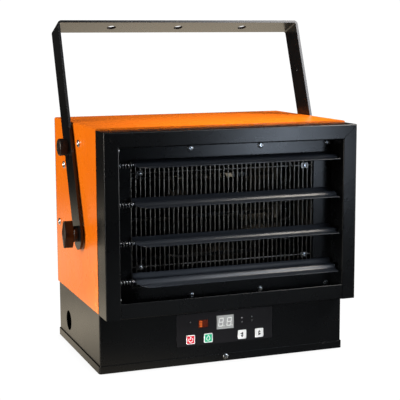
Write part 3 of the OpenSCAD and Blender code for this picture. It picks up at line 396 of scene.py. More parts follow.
def softened(node, name, width, body):
    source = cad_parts[node]
    piece = bpy.data.objects.new(name, source.data.copy())
    piece.data.name = name
    bpy.context.collection.objects.link(piece)
    editMode(piece, "VERT")
    bpy.ops.mesh.select_all(action="SELECT")
    bpy.ops.mesh.customdata_custom_splitnormals_clear()
    bpy.ops.mesh.remove_doubles(threshold=0.004 * mm)
    bpy.ops.mesh.mark_sharp(clear=True)
    bpy.ops.mesh.dissolve_limited(angle_limit=math.radians(0.4))
    objectMode()
    applied(piece, "BEVEL", width=width * mm, segments=2, limit_method="ANGLE",
            angle_limit=math.radians(40), use_clamp_overlap=True)
    piece.data.polygons.foreach_set("use_smooth", [True] * len(piece.data.polygons))
    applied(piece, "WEIGHTED_NORMAL", mode="FACE_AREA", weight=100, keep_sharp=False)
    return settled(piece, body, [source.data.materials[0]], [node])


ceilingHoles = {"x": (-101, 0, 101), "out": 297.25, "reach": 6.9, "wall": 0.8}
holeAxis = Vector((0, math.sin(lean), math.cos(lean)))
holeCentres = [Vector((x, pivot["y"], pivot["z"])) + ceilingHoles["out"] * holeAxis
               for x in ceilingHoles["x"]]


def inCeilingHole(face):  # a wall of one of the three holes, which gets painted shade
    return abs(face.normal.dot(holeAxis)) < ceilingHoles["wall"] and any(
        (face.center / mm - centre).length < ceilingHoles["reach"] for centre in holeCentres)


for node, (name, width, body) in softEdges.items():
    piece = softened(node, name, width, body)
    # the hole walls get the painted shade
    if node == "ceiling_yoke":
        piece.data.materials.append(boreShadePowder)
        for face in piece.data.polygons:
            face.material_index = int(inCeilingHole(face))
print("stage: sheet metal and bar softened,", len(softEdges))


# Rolled louvre blades

blade = {
    "half": 16.5, "valley": 7.095, "wave": 1.7, "rise": 0.85, "frontLip": 1.3, "sheet": 1.0,
    "fromX": -133.6, "toX": 153.1, "corner": 13, "cornerFrom": 3, "steps": 88, "edge": 0.28,
    "rod": 4.1, "boreDepth": 4, "lug": 8.4, "lugThick": 1.0, "lugEdge": 0.12,
    "pivotY": -131, "pivotZ": (276.05, 225.65, 175.25, 124.85), "tilt": (8, 13, 11, 21),
}


def bladeHeight(front):  # height of the sheet's middle, front being the distance ahead of the rod
    valley, half, wave = blade["valley"], blade["half"], blade["wave"]
    if abs(front) < valley:
        bend = wave * math.cos(math.pi * front / valley)
    elif front < 0:
        bend = -wave * math.cos(math.pi * (front + valley) / (half - valley))
    else:
        bend = blade["frontLip"] * (1 - math.cos(math.pi / 2 * (front - valley) / (half - valley))) - wave
    return blade["rise"] + bend


def rolledBlade():
    bpy.ops.mesh.primitive_grid_add(x_subdivisions=1, y_subdivisions=blade["steps"], size=2)
    sheet = fresh("rolledBlade")
    for point in sheet.data.vertices:
        front = -point.co.y * blade["half"]
        along = blade["fromX"] if point.co.x < 0 else blade["toX"]
        point.co = (along * mm, -front * mm, bladeHeight(front) * mm)
    editMode(sheet, "FACE")
    bpy.ops.mesh.select_all(action="SELECT")
    run = blade["half"] - blade["cornerFrom"]  # the corner falls away over this length
    bpy.ops.mesh.bisect(
        plane_co=(blade["fromX"] * mm, -blade["cornerFrom"] * mm, 0),
        plane_no=Vector((-run, -blade["corner"], 0)).normalized(), clear_outer=True)
    objectMode()
    applied(sheet, "SOLIDIFY", thickness=blade["sheet"] * mm, offset=0)
    applied(sheet, "BEVEL", width=blade["edge"] * mm, segments=3, limit_method="ANGLE",
            angle_limit=math.radians(50))
    lugs = []
    for along in (blade["fromX"], blade["toX"] - blade["lugThick"]):
        bpy.ops.mesh.primitive_cylinder_add(
            vertices=64, radius=blade["lug"] / 2 * mm, depth=blade["lugThick"] * mm,
            location=((along + blade["lugThick"] / 2) * mm, 0, 0), rotation=(0, math.pi / 2, 0))
        lug = fresh("lug")
        editMode(lug, "FACE")
        bpy.ops.mesh.select_all(action="SELECT")
        bpy.ops.mesh.bisect(plane_co=(0, 0, bladeHeight(0) * mm), plane_no=(0, 0, 1),
                            clear_outer=True, use_fill=True)
        objectMode()
        bpy.ops.mesh.primitive_cylinder_add(
            vertices=48, radius=blade["rod"] / 2 * mm, depth=blade["boreDepth"] * mm,
            location=(along * mm, 0, 0), rotation=(0, math.pi / 2, 0))
        bore = fresh("bore")
        applied(lug, "BOOLEAN", operation="DIFFERENCE", object=bore, solver="EXACT")
        bpy.data.objects.remove(bore)
        applied(lug, "BEVEL", width=blade["lugEdge"] * mm, segments=2, limit_method="ANGLE",
                angle_limit=math.radians(50))
        lugs.append(lug)
    return joined("rolledBlade", [sheet] + lugs)


pattern = rolledBlade()
for k in range(4):
    turn = Matrix.Translation((0, blade["pivotY"] * mm, blade["pivotZ"][k] * mm)) @ Matrix.Rotation(
        math.radians(blade["tilt"][k]), 4, "X")
    louvre = smoothed(copied(pattern, turn), 40)
    louvre.name = f"louvreBlade{k + 1}"
    settled(louvre, f"louvre_{k + 1}", [louvrePowder], [f"louvre_{k + 1}"])
bpy.data.objects.remove(pattern)
print("stage: louvre blades rolled")


# Louvre springs: round wire, open turns between closer ends

spring = {
    "fromX": -157.0, "radius": 3.5, "wire": 1.0, "openTurns": 5, "endTurn": 0.75, "endPitch": 1.5,
    "length": 22.6, "perTurn": 28,
}


def springPoint(turn):  # a point of the coil's middle line, from the left end of its rod
    total = spring["openTurns"] + 2 * spring["endTurn"]
    ends = spring["endTurn"] * spring["endPitch"]
    run = spring["length"] - spring["wire"]
    openPitch = (run - 2 * ends) / spring["openTurns"]
    if turn < spring["endTurn"]:
        along = turn * spring["endPitch"]
    elif turn < total - spring["endTurn"]:
        along = ends + (turn - spring["endTurn"]) * openPitch
    else:
        along = run - (total - turn) * spring["endPitch"]
    return (spring["fromX"] + along, spring["radius"] * math.cos(math.tau * turn),
            spring["radius"] * math.sin(math.tau * turn))


turns = spring["openTurns"] + 2 * spring["endTurn"]
count = round(turns * spring["perTurn"])
for k in range(4):
    bpy.ops.curve.primitive_nurbs_path_add()
    coil = bpy.context.view_layer.objects.active
    coil.name = f"louvreSpring{k + 1}"
    coil.data.splines.clear()
    wire = coil.data.splines.new("POLY")
    wire.points.add(count)
    for n, point in enumerate(wire.points):
        x, y, z = springPoint(turns * n / count)
        point.co = (x * mm, (blade["pivotY"] + y) * mm, (blade["pivotZ"][k] + z) * mm, 1)
    coil.data.dimensions = "3D"
    coil.data.bevel_depth = spring["wire"] / 2 * mm
    coil.data.bevel_resolution = 4
    coil.data.use_fill_caps = True
    only(coil)
    bpy.ops.object.convert(target="MESH")
    coil = bpy.context.view_layer.objects.active
    smoothed(coil, 45)
    settled(coil, "heater", [zincPlate], [f"louvre_spring_{k + 1}"])
print("stage: louvre springs wound")


# Turned shapes: a disc raised ring by ring, heights and radii in mm

def turned(name, count, steps):
    height, radius = steps[0]
    bpy.ops.mesh.primitive_circle_add(vertices=count, radius=radius * mm, fill_type="NGON",
                                      location=(0, 0, height * mm))
    piece = fresh(name)
    editMode(piece, "FACE")
    bpy.ops.mesh.select_all(action="SELECT")
    for nextHeight, nextRadius in steps[1:]:
        bpy.ops.mesh.extrude_region_move(TRANSFORM_OT_translate={"value": (0, 0, (nextHeight - height) * mm)})
        ratio = nextRadius / radius
        bpy.ops.transform.resize(value=(ratio, ratio, 1))
        height, radius = nextHeight, nextRadius
    bpy.ops.mesh.select_all(action="SELECT")
    bpy.ops.mesh.normals_make_consistent(inside=False)
    objectMode()
    return piece


# Cross-recessed pan head screws

screwSizes = {
    "tilt": {"shank": 6, "head": 10.4, "tall": 2.3, "length": 8},
    "cover": {"shank": 4, "head": 8.2, "tall": 2.2, "length": 7},
    "guard": {"shank": 3, "head": 6, "tall": 1.8, "length": 5.9},
}
recess = {"long": 1.15, "wide": 0.25, "deep": 1.3, "floorLong": 0.45, "floorWide": 0.7}  # shares of the head


def panScrew(size):
    r, tall = size["head"] / 2, size["tall"]
    steps = [(-size["length"], size["shank"] * 0.42), (0.6 - size["length"], size["shank"] / 2),
             (0, size["shank"] / 2), (0, r * 0.96), (0.12 * tall, r), (0.34 * tall, r)]
    for lift in (20, 35, 50, 65, 80, 90):  # the dome, by its angle from the rim
        a = math.radians(lift)
        steps.append((tall * (0.34 + 0.66 * math.sin(a)), r * (0.35 + 0.65 * math.cos(a))))
    screw = turned("panScrew", 48, steps)
    cutters = []
    for turn in (0, math.pi / 2):
        bpy.ops.mesh.primitive_cube_add(
            size=1, location=(0, 0, tall * mm), rotation=(0, 0, turn),
            scale=(r * recess["long"] * mm, r * recess["wide"] * mm, tall * recess["deep"] * mm))
        cutter = bpy.context.view_layer.objects.active
        for point in cutter.data.vertices:  # the recess narrows towards its floor
            if point.co.z < 0:
                point.co.x *= recess["floorLong"]
                point.co.y *= recess["floorWide"]
        bpy.ops.object.transform_apply(location=True, rotation=True, scale=True)
        cutters.append(cutter)
    for cutter in cutters:
        applied(screw, "BOOLEAN", operation="DIFFERENCE", object=cutter, solver="EXACT")
        bpy.data.objects.remove(cutter)
    applied(screw, "BEVEL", width=0.07 * mm, segments=1, limit_method="ANGLE",
            angle_limit=math.radians(50))
    return screw


def screwSet(name, kind, places, node):
    # places are (point in mm, outward direction); each screw stopped at its own angle
    pattern = panScrew(screwSizes[kind])
    parts = []
    for k, (point, outward) in enumerate(places):
        stopped = Matrix.Rotation(0.4 + 1.37 * k, 4, "Z")
        facing = Vector((0, 0, 1)).rotation_difference(Vector(outward)).to_matrix().to_4x4()
        parts.append(copied(pattern, Matrix.Translation(Vector(point) * mm) @ facing @ stopped))
    bpy.data.objects.remove(pattern)
    settled(smoothed(joined(name, parts), 40), "heater", [zincPlate], [node])


def onCircle(angle):  # y and z on the tilt circle, from upright towards the back
    return pivot["y"] + pivot["circle"] * math.sin(angle), pivot["z"] + pivot["circle"] * math.cos(angle)


tiltStops = (2, 46, 91)
plateScrews = {"x": (-150.9, -50.3, 50.3, 150.9), "y": -112.2, "z": (96.8, 293.7)}
rearScrews = {"x": (-171, 171), "y": 111, "z": (95.2, 202.1), "topX": (-171, 0, 171), "topZ": 316}
earScrews = {"x": (-71.91, 69.51), "y": 113.15, "z": (124.64, 266.06)}
trayScrews = {"y": 111, "z": 6}
wireScrews = {"x": (-120, 117.6), "y": -110, "z": (138.95, 263.05)}
tiltPlaces = [((side * pivot["side"], *onCircle(math.radians(stop))), (side, 0, 0))
              for side in (-1, 1) for stop in tiltStops]
coverPlaces = [((x, plateScrews["y"], z), (0, -1, 0)) for x in plateScrews["x"] for z in plateScrews["z"]]
coverPlaces += [((x, rearScrews["y"], rearScrews["topZ"]), (0, 1, 0)) for x in rearScrews["topX"]]
coverPlaces += [((x, rearScrews["y"], z), (0, 1, 0)) for x in rearScrews["x"] for z in rearScrews["z"]]
coverPlaces += [((x, earScrews["y"], z), (0, 1, 0)) for x in earScrews["x"] for z in earScrews["z"]]
coverPlaces += [((0, side * trayScrews["y"], trayScrews["z"]), (0, side, 0)) for side in (-1, 1)]
guardPlaces = [((x, wireScrews["y"], z), (0, -1, 0)) for x in wireScrews["x"] for z in wireScrews["z"]]
screwSet("tiltScrews", "tilt", tiltPlaces, "tilt_screws")
screwSet("coverScrews", "cover", coverPlaces, "cover_screws")
screwSet("guardScrews", "guard", guardPlaces, "guard_screws")
print("stage: screws driven")


# Clamping knobs on the pivots, thumb screws on the tilt circle

wing = {
    "long": 36.8, "wide": 20.8, "tip": 4, "thick": 12, "hub": 10.9, "hubTall": 6.5, "stud": 4, "studIn": 12,
    "seat": 6.2, "rim": 2.2, "recess": 0.8, "recessWall": 0.2, "edge": 0.9,
}
thumb = {
    "outer": 11.75, "tall": 13, "stud": 3, "studFrom": 2.5, "seat": 6.2, "teeth": 60, "toothDepth": 0.38,
    "dish": 7.05, "dishDeep": 0.6,
}


def wingOutline():  # in mm: a round middle, straight flanks and two round tips
    r, tip = wing["wide"] / 2, wing["tip"]
    reach = wing["long"] / 2 - tip
    taper = math.asin((r - tip) / reach)
    half = [(reach + tip * math.cos(a), tip * math.sin(a))
            for a in ((k / 8 - 1) * (math.pi / 2 - taper) for k in range(17))]
    half += [(r * math.cos(a), r * math.sin(a))
             for a in (math.pi / 2 + (k / 5 - 1) * taper for k in range(11))]
    return half + [(-x, -y) for x, y in half]


def wingKnob():
    low = wing["seat"] + wing["hubTall"]
    outline = wingOutline()
    bpy.ops.mesh.primitive_circle_add(vertices=len(outline), radius=mm, fill_type="NGON")
    head = fresh("wingKnob")
    for point, (x, y) in zip(head.data.vertices, outline):
        point.co = (x * mm, y * mm, low * mm)
    editMode(head, "FACE")
    bpy.ops.mesh.select_all(action="SELECT")
    bpy.ops.mesh.extrude_region_move(TRANSFORM_OT_translate={"value": (0, 0, wing["thick"] * mm)})
    bpy.ops.mesh.inset(thickness=wing["rim"] * mm)
    bpy.ops.mesh.inset(thickness=wing["recessWall"] * mm, depth=-wing["recess"] * mm)
    bpy.ops.mesh.select_all(action="SELECT")
    bpy.ops.mesh.normals_make_consistent(inside=False)
    objectMode()
    applied(head, "BEVEL", width=wing["edge"] * mm, segments=4, limit_method="ANGLE",
            angle_limit=math.radians(60), use_clamp_overlap=True)
    stem = turned("stem", 64, [
        (-wing["studIn"], wing["stud"] - 0.5), (0.5 - wing["studIn"], wing["stud"]),
        (wing["seat"], wing["stud"]), (wing["seat"], wing["hub"] - 0.3), (wing["seat"] + 0.3, wing["hub"]),
        (low - 0.5, wing["hub"]), (low, wing["hub"] - 0.6), (low + 2, wing["hub"] - 1.5)])
    return joined("wingKnob", [head, stem])


def thumbScrew():
    r, top = thumb["outer"], thumb["seat"] + thumb["tall"]
    head = turned("thumbScrew", thumb["teeth"] * 4, [
        (thumb["studFrom"], thumb["stud"] - 0.4), (thumb["studFrom"] + 0.4, thumb["stud"]),
        (thumb["seat"], thumb["stud"]), (thumb["seat"], r - 0.8), (thumb["seat"] + 0.5, r - 0.4),
        (thumb["seat"] + 1.2, r - 0.4), (thumb["seat"] + 1.5, r), (top - 1.6, r), (top - 0.8, r - 0.5),
        (top - 0.2, r - 1.2), (top, r - 1.9), (top, thumb["dish"]),
        (top - thumb["dishDeep"], thumb["dish"] - 0.35), (top - thumb["dishDeep"], 1)])
    for point in head.data.vertices:
        reach = math.hypot(point.co.x, point.co.y)
        k = round(math.atan2(point.co.y, point.co.x) / math.tau * thumb["teeth"] * 4)
        if reach > (r - 0.1) * mm and k % 4 in (0, 1):  # two of every four points lie in a groove
            point.co.x *= 1 - thumb["toothDepth"] / r
            point.co.y *= 1 - thumb["toothDepth"] / r
    return head


def facingOut(side, y, z):
    seat = Matrix.Translation((side * pivot["side"] * mm, y * mm, z * mm))
    return seat @ Matrix.Rotation(side * math.pi / 2, 4, "Y")


knobPattern = wingKnob()
thumbPattern = thumbScrew()
for side, word in ((-1, "left"), (1, "right")):
    piece = smoothed(copied(knobPattern, facingOut(side, pivot["y"], pivot["z"])), 35)
    piece.name = f"pivotKnob{word.title()}"
    settled(piece, f"pivot_knob_{word}", [knobPlastic], [f"pivot_knob_{word}"])
    piece = smoothed(copied(thumbPattern, facingOut(side, *onCircle(lean))), 35)
    piece.name = f"lockKnob{word.title()}"
    settled(piece, f"lock_knob_{word}", [darkPlastic], [f"lock_knob_{word}"])
bpy.data.objects.remove(knobPattern)
bpy.data.objects.remove(thumbPattern)
print("stage: knobs turned")


# Control panel: keys, symbols, digits, indicator and lamps

panel = {
    "front": -110.5, "proud": 0.6, "powerX": -50.3, "modeX": -24.8, "upX": 24.8, "downX": 50.3,
    "keyZ": 34.2, "keySide": 12.6, "keyCorner": 1.6, "keyEdge": 0.5, "border": 1.15, "faceIn": 0.12,
    "keyDepth": 1.1, "stem": 2.5, "stemDeep": 2.4, "stemY": -106.9,
    "flange": 13.8, "flangeThick": 1, "flangeY": -108.9, "flangeCorner": 1.5, "print": 0.06,
    "displayX": 0, "displayZ": 54.1, "displayFace": -109.7, "digitPrint": 0.08, "digitX": (-5.9, 6.1),
    "digitWide": 7.4, "digitTall": 12.4, "bar": 1.7, "slant": 7,
    "indicatorX": -32.2, "indicatorY": -106.15, "indicatorZ": 54.6, "indicatorFace": -110.4,
    "indicatorWide": 14, "indicatorDeep": 8.5, "indicatorTall": 10.5,
    "cell": (3.8, 2.3), "cellX": 3.2, "cellZ": (-3.1, 0, 3.1),
    "lampY": -101.9, "lamps": ((-50.3, 58.1), (25, 57.6), (25, 52), (39.8, 57.6), (39.8, 52)),
}


def softBlock(name, centre, size, corner, edge):  # round-cornered block that faces the front
    bpy.ops.mesh.primitive_cube_add(size=1, location=[c * mm for c in centre], scale=[s * mm for s in size])
    block = fresh(name)
    editMode(block, "EDGE")
    pickEdges(block, lambda a, b: abs(a.y - b.y) > 1e-6)
    bpy.ops.mesh.bevel(offset=corner * mm, segments=6, affect="EDGES")
    front = min(point.co.y for point in block.data.vertices)
    pickEdges(block, lambda a, b: max(a.y, b.y) < front + 1e-7)
    bpy.ops.mesh.bevel(offset=edge * mm, segments=3, affect="EDGES")
    objectMode()
    return block


def keyCap(name, x, body, face):
    depth = panel["keyDepth"] + panel["proud"]
    centre = (x, panel["front"] - panel["proud"] + depth / 2, panel["keyZ"])
    cap = softBlock(name, centre, (panel["keySide"], depth, panel["keySide"]), panel["keyCorner"],
                    panel["keyEdge"])
    editMode(cap, "FACE")
    pickFaces(cap, lambda c, n: n.y < -0.99 and abs(c.x - x * mm) < mm and abs(c.z - panel["keyZ"] * mm) < mm)
    bpy.ops.mesh.inset(thickness=(panel["border"] - panel["keyEdge"]) * mm)
    bpy.ops.mesh.inset(thickness=panel["faceIn"] * mm, depth=-panel["faceIn"] * mm)
    objectMode()
    cap.data.materials.append(whiteCap)
    cap.data.materials.append(face)
    for polygon in cap.data.polygons:
        polygon.material_index = int(polygon.select)
    bpy.ops.mesh.primitive_cylinder_add(
        vertices=32, radius=panel["stem"] * mm, depth=panel["stemDeep"] * mm, rotation=(math.pi / 2, 0, 0),
        location=(x * mm, panel["stemY"] * mm, panel["keyZ"] * mm))
    stem = fresh("stem")
    bpy.ops.mesh.primitive_cube_add(
        size=1, location=(x * mm, panel["flangeY"] * mm, panel["keyZ"] * mm),
        scale=(panel["flange"] * mm, panel["flangeThick"] * mm, panel["flange"] * mm))
    flange = fresh("flange")
    editMode(flange, "EDGE")
    pickEdges(flange, lambda a, b: abs(a.y - b.y) > 1e-6)
    bpy.ops.mesh.bevel(offset=panel["flangeCorner"] * mm, segments=4, affect="EDGES")
    objectMode()
    materials = list(cap.data.materials)
    return settled(smoothed(joined(name, [cap, stem, flange]), 35), body, materials, [body])


def flatPart(vertices, radius, spot, stretch=(1, 1), turn=0.0):  # a flat polygon that faces the front
    bpy.ops.mesh.primitive_circle_add(vertices=vertices, radius=radius * mm, fill_type="NGON",
                                      rotation=(math.pi / 2, 0, 0))
    part = fresh("mark")
    place = Matrix.Translation((spot[0] * mm, 0, spot[1] * mm)) @ Matrix.Rotation(turn, 4, "Y")
    part.data.transform(place @ Matrix.Diagonal((stretch[0], 1, stretch[1], 1)))
    return part


def printed(name, parts, x, z, y, thick, body, material):  # flat shapes raised by an ink film's thickness
    mark = joined(name, parts)
    mark.data.transform(Matrix.Translation((x * mm, y * mm, z * mm)))
    editMode(mark, "FACE")
    bpy.ops.mesh.select_all(action="SELECT")
    bpy.ops.mesh.extrude_region_move(TRANSFORM_OT_translate={"value": (0, -thick * mm, 0)})
    bpy.ops.mesh.select_all(action="SELECT")
    bpy.ops.mesh.normals_make_consistent(inside=False)
    objectMode()
    return settled(mark, body, [material])


def flatBlock(wide, tall, spot):
    bpy.ops.mesh.primitive_plane_add(size=mm, rotation=(math.pi / 2, 0, 0))
    block = fresh("mark")
    place = Matrix.Translation((spot[0] * mm, 0, spot[1] * mm))
    block.data.transform(place @ Matrix.Diagonal((wide, 1, tall, 1)))
    return block


def openRing(outer, inner, gap, spot):  # flat ring, open at the top over the given angle
    ring = flatPart(48, outer, (0, 0))
    editMode(ring, "FACE")
    bpy.ops.mesh.select_all(action="SELECT")
    bpy.ops.mesh.inset(thickness=(outer - inner) * mm)
    bpy.ops.mesh.delete(type="FACE")
    pickFaces(ring, lambda c, n: abs(math.atan2(c.x, c.z)) < math.radians(gap / 2))
    bpy.ops.mesh.delete(type="FACE")
    objectMode()
    ring.data.transform(Matrix.Translation((spot[0] * mm, 0, spot[1] * mm)))
    return ring


keyTop = panel["front"] - panel["proud"] + panel["faceIn"]
keyCap("keyPower", panel["powerX"], "button_power", redFace)
keyCap("keyMode", panel["modeX"], "button_mode", greenFace)
keyCap("keyUp", panel["upX"], "button_up", whiteCap)
keyCap("keyDown", panel["downX"], "button_down", whiteCap)

powerMark = {"outer": 3.5, "inner": 2.35, "gap": 80, "ringZ": -0.3, "bar": (1.15, 3.8), "barZ": 2.1}
powerRing = openRing(powerMark["outer"], powerMark["inner"], powerMark["gap"], (0, powerMark["ringZ"]))
powerBar = flatBlock(*powerMark["bar"], (0, powerMark["barZ"]))
printed("powerSymbol", [powerRing, powerBar], panel["powerX"], panel["keyZ"], keyTop, panel["print"],
        "button_power", whiteCap)

flameLine = 0.95
flameOutline = (  # distance from the middle in mm, every 15 degrees from the right and round over the top
    2.5, 2.6, 2.8, 2.9, 3.1, 3.7, 4.4, 3.3, 2.6, 2.4, 2.6, 2.9,
    3.0, 3.2, 3.3, 3.5, 3.6, 3.6, 3.6, 3.5, 3.3, 3.1, 2.9, 2.7)


def flame():
    count = len(flameOutline)
    outline = flatPart(count, 1, (0, 0))
    for point in outline.data.vertices:
        k = round(math.atan2(point.co.z, point.co.x) / math.tau * count) % count
        reach = flameOutline[k] / math.hypot(point.co.x, point.co.z)
        point.co.x *= reach * mm
        point.co.z *= reach * mm
    editMode(outline, "FACE")
    bpy.ops.mesh.select_all(action="SELECT")
    bpy.ops.mesh.inset(thickness=flameLine * mm)
    bpy.ops.mesh.delete(type="FACE")
    objectMode()
    return outline


printed("heatSymbol", [flame()], panel["modeX"], panel["keyZ"], keyTop, panel["print"], "button_mode",
        whiteCap)
arrow = {"head": 2.7, "headZ": 1.5, "headStretch": (0.9, 1.05),
         "neck": (3.6, 1.5), "neckZ": -1.2, "foot": (1.7, 1.6), "footZ": -2.9}
for name, x, flip, body in (
        ("upSymbol", panel["upX"], 1, "button_up"), ("downSymbol", panel["downX"], -1, "button_down")):
    head = flatPart(3, arrow["head"], (0, flip * arrow["headZ"]), arrow["headStretch"], -flip * math.pi / 2)
    neck = flatBlock(*arrow["neck"], (0, flip * arrow["neckZ"]))
    foot = flatBlock(*arrow["foot"], (0, flip * arrow["footZ"]))
    printed(name, [head, neck, foot], x, panel["keyZ"], keyTop, panel["print"], body, blackPrint)


def digit(x):  # seven bars, then slanted together
    wide, tall, bar = panel["digitWide"], panel["digitTall"], panel["bar"]
    across, upright = wide - bar, (tall - bar) / 2
    bars = [((0, row * upright), across - bar * 0.75, 0) for row in (-1, 0, 1)]
    bars += [((side * across / 2, row * upright / 2), upright - bar * 0.75, 1)
             for side in (-1, 1) for row in (-1, 1)]
    parts = []
    for spot, length, standing in bars:
        part = flatPart(6, bar * 0.52, (0, 0))
        for point in part.data.vertices:
            point.co.x += math.copysign(length / 2 * mm, point.co.x)
        if standing:
            part.data.transform(Matrix.Rotation(math.pi / 2, 4, "Y"))
        part.data.transform(Matrix.Translation((spot[0] * mm, 0, spot[1] * mm)))
        parts.append(part)
    parts.append(flatPart(20, bar * 0.45, (wide / 2 + 1.3, -tall / 2 + bar / 2)))
    slant = math.tan(math.radians(panel["slant"]))
    for part in parts:
        for point in part.data.vertices:
            point.co.x += point.co.z * slant + x * mm
    return parts


printed("displayDigits", digit(panel["digitX"][0]) + digit(panel["digitX"][1]), panel["displayX"],
        panel["displayZ"], panel["displayFace"], panel["digitPrint"], "heater", digitResin)

window = softBlock("indicatorWindow", (panel["indicatorX"], panel["indicatorY"], panel["indicatorZ"]),
                   (panel["indicatorWide"], panel["indicatorDeep"], panel["indicatorTall"]), 0.4, 0.25)
settled(smoothed(window), "heater", [redLens], ["indicator_window"])
for name, side, material in (("indicatorLit", -1, litLamp), ("indicatorDark", 1, redLens)):
    cells = [flatBlock(*panel["cell"], (side * panel["cellX"], z)) for z in panel["cellZ"]]
    printed(name, cells, panel["indicatorX"], panel["indicatorZ"], panel["indicatorFace"], panel["print"],
            "heater", material)

lampProfile = [(0, 1.5), (6.6, 1.5), (6.6, 1), (7.6, 1), (8.05, 0.86), (8.35, 0.6), (8.5, 0.3)]
lamps = []
for x, z in panel["lamps"]:
    lamp = turned("lamp", 32, lampProfile)
    place = Matrix.Translation((x * mm, panel["lampY"] * mm, z * mm))
    lamp.data.transform(place @ Matrix.Rotation(math.pi / 2, 4, "X"))
    lamps.append(lamp)
settled(smoothed(joined("statusLamps", lamps), 40), "heater", [lampResin], ["status_leds"])
print("stage: control panel dressed")


# Camera, floor and studio

view = {"target": (9.1, 9.0, 204.9), "away": 1612, "turn": -20.67, "lift": 8.37, "roll": -0.23,
        "lens": 100.6, "sensor": 36, "clip": (0.05, 60)}


def photoCamera():
    turn, lift, roll = (math.radians(view[key]) for key in ("turn", "lift", "roll"))
    back = Vector((math.sin(turn) * math.cos(lift), -math.cos(turn) * math.cos(lift), math.sin(lift)))
    right = Vector((math.cos(turn), math.sin(turn), 0))
    up = back.cross(right)
    right, up = right * math.cos(roll) + up * math.sin(roll), up * math.cos(roll) - right * math.sin(roll)
    bpy.ops.object.camera_add()
    camera = bpy.context.view_layer.objects.active
    stand = Vector(view["target"]) + back * view["away"]
    camera.matrix_world = Matrix.Translation(stand * mm) @ Matrix((right, up, back)).transposed().to_4x4()
    camera.data.lens = view["lens"]
    camera.data.sensor_width = view["sensor"]
    camera.data.clip_start, camera.data.clip_end = view["clip"]
    scene.camera = camera


photoCamera()

def seenByCamera(tree):  # the camera ray, and 1 unless it came through the disc of painted shade below
    sight = addNode(tree, "ShaderNodeLightPath").outputs
    direct = addNode(tree, "ShaderNodeMath", {"operation": "LESS_THAN", 1: 0.5},
                     {0: sight["Transparent Depth"]})
    return sight["Is Camera Ray"], direct.outputs[0]


paperLook = {
    "side": 16, "tone": "#12110f", "glow": "#fff0d6", "glowStrength": 2.5, "white": 1.05, "shadow": 0.75,
    "shadowReach": 0.05, "shadowEnd": 0.8,
    # what the heater mirrors: painted pools of warm light glowing in the paper behind it to the left and
    # behind the yoke, dark paper elsewhere
    "pools": (((-0.27, 0.16), 0.42, 0.42), ((0.28, 0.9), 0.95, 0.95)),  # middle, reach and level, in metres
}
bpy.ops.mesh.primitive_plane_add(size=paperLook["side"], location=(0, 0, 0))
floor = fresh("studioFloor")
floorPaper, tree, surface, place = coated("whiteFloorPaper", Roughness=0.7, IOR=1.3,
                                          Emission_Strength=paperLook["glowStrength"])
surface.inputs["Base Color"].default_value = colour(paperLook["tone"])
# painted light: the pools glow through the paper's emission, which only rays other than the camera's see
pools = []
for spot, reach, level in paperLook["pools"]:
    around = addNode(tree, "ShaderNodeMapping", {
        "Location": (-spot[0] / reach, -spot[1] / reach, 0), "Scale": (1 / reach, 1 / reach, 1)},
        {"Vector": place})
    fade = addNode(tree, "ShaderNodeTexGradient", {"gradient_type": "SPHERICAL"},
                   {"Vector": around.outputs["Vector"]})
    pool = addNode(tree, "ShaderNodeMath", {"operation": "MULTIPLY", 1: level}, {0: fade.outputs["Fac"]})
    pools.append(pool.outputs[0])
brighter = addNode(tree, "ShaderNodeMath", {"operation": "MAXIMUM"}, {0: pools[0], 1: pools[1]})
glow = addNode(tree, "ShaderNodeMix", {
    "data_type": "RGBA", 6: colour("#000000"), 7: colour(paperLook["glow"])}, {0: brighter.outputs[0]})
tree.links.new(glow.outputs[2], surface.inputs["Emission Color"])
seen, direct = seenByCamera(tree)
contact = addNode(tree, "ShaderNodeAmbientOcclusion", {"Distance": paperLook["shadowReach"], "samples": 8})
shaded = addNode(tree, "ShaderNodeMapRange", {
    "From Max": paperLook["shadowEnd"], "To Min": paperLook["shadow"], "To Max": paperLook["white"]},
    {"Value": contact.outputs["AO"]})
whiteness = addNode(tree, "ShaderNodeMath", {"operation": "MULTIPLY"},
                    {0: shaded.outputs["Result"], 1: direct})
white = addNode(tree, "ShaderNodeEmission", {"Color": (1, 1, 1, 1)}, {"Strength": whiteness.outputs[0]})
paper = addNode(tree, "ShaderNodeMixShader", {}, {0: seen, 1: surface.outputs["BSDF"], 2: white.outputs[0]})
tree.links.new(paper.outputs[0], tree.nodes["Material Output"].inputs["Surface"])
floor.data.materials.append(floorPaper)

# a clear disc behind the intake: painted shade, so that what is seen through the fan is dark, not the white
# sweep
shadeDisc = {"radius": 0.106, "at": (-0.0012, 0.119, 0.19535)}
bpy.ops.mesh.primitive_circle_add(vertices=64, radius=shadeDisc["radius"], fill_type="NGON",
                                  location=shadeDisc["at"], rotation=(math.pi / 2, 0, 0))
shadeDiscPiece = fresh("paintedShadeDisc")
clearAir, tree = coated("clearAir")[:2]
glassless = addNode(tree, "ShaderNodeBsdfTransparent")
tree.links.new(glassless.outputs[0], tree.nodes["Material Output"].inputs["Surface"])
shadeDiscPiece.data.materials.append(clearAir)

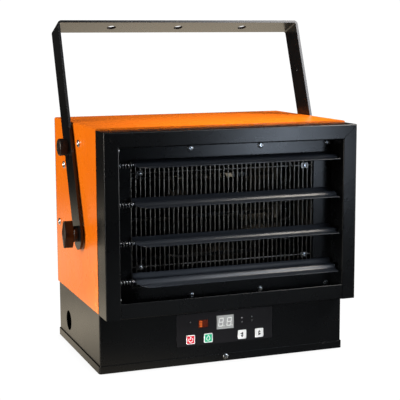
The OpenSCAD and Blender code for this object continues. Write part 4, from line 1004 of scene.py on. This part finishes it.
studio = {  # name: (place, target, width, height, watts, spread in degrees, tint)
    "leftSoftbox": ((-1.5, -0.1, 0.62), (-0.15, 0, 0.2), 0.8, 0.8, 24, 180, "#fff6ea"),
    "topSoftbox": ((0.65, -0.3, 0.95), (0.1, -0.03, 0.32), 0.4, 0.4, 1.3, 60, "#fff6ea"),
    "roofStrip": ((0.05, -0.1, 0.5), (0.05, -0.09, 0.32), 0.3, 0.05, 0.75, 180, "#fff6ea"),
    "frontWindow": ((1.15, -1.5, 1.55), (0, -0.1, 0.2), 0.8, 0.8, 18, 180, "#f2f6ff"),
    "leftStrip": ((-1.2, -0.6, 0.08), (-0.13, -0.14, 0.2), 0.3, 0.3, 1.0, 180, "#ffffff"),
    "rightStrip": ((1.3, -0.5, 0.14), (0, -0.12, 0.18), 0.5, 0.3, 3, 180, "#ffffff"),
    "panelSnoot": ((-0.55, -0.55, 0.13), (0, -0.11, 0.045), 0.08, 0.08, 0.2, 30, "#ffffff"),
    "accent": ((0.345, -0.75, 0.25), (0.12, -0.148, 0.28), 0.14, 0.2, 0.075, 60, "#dcebff"),
}
for name, (spot, target, wide, tall, watts, spread, tint) in studio.items():
    bpy.ops.object.light_add(type="AREA", location=spot)
    lamp = bpy.context.view_layer.objects.active
    lamp.name = name
    lamp.data.shape, lamp.data.size, lamp.data.size_y = "RECTANGLE", wide, tall
    lamp.data.energy, lamp.data.spread, lamp.data.color = watts, math.radians(spread), colour(tint)[:3]
    lamp.rotation_euler = (Vector(target) - Vector(spot)).to_track_quat("-Z", "Y").to_euler()
    lamp.visible_camera = False
    lamp.visible_glossy = name not in ("roofStrip", "panelSnoot")  # these two have no mirror image

world = bpy.data.worlds.new("studioAir")
scene.world = world
world.use_nodes = True
tree = world.node_tree
tree.nodes.clear()
room = addNode(tree, "ShaderNodeBackground", {"Color": (1, 1, 1, 1), "Strength": 0.02})
seen, direct = seenByCamera(tree)
sweepLevel = addNode(tree, "ShaderNodeMath", {"operation": "MULTIPLY", 1: paperLook["white"]}, {0: direct})
sweep = addNode(tree, "ShaderNodeBackground", {"Color": (1, 1, 1, 1)}, {"Strength": sweepLevel.outputs[0]})
air = addNode(tree, "ShaderNodeMixShader", {}, {0: seen, 1: room.outputs[0], 2: sweep.outputs[0]})
addNode(tree, "ShaderNodeOutputWorld", {}, {"Surface": air.outputs[0]})
scene.view_settings.view_transform = "Standard"
print("stage: studio lit")
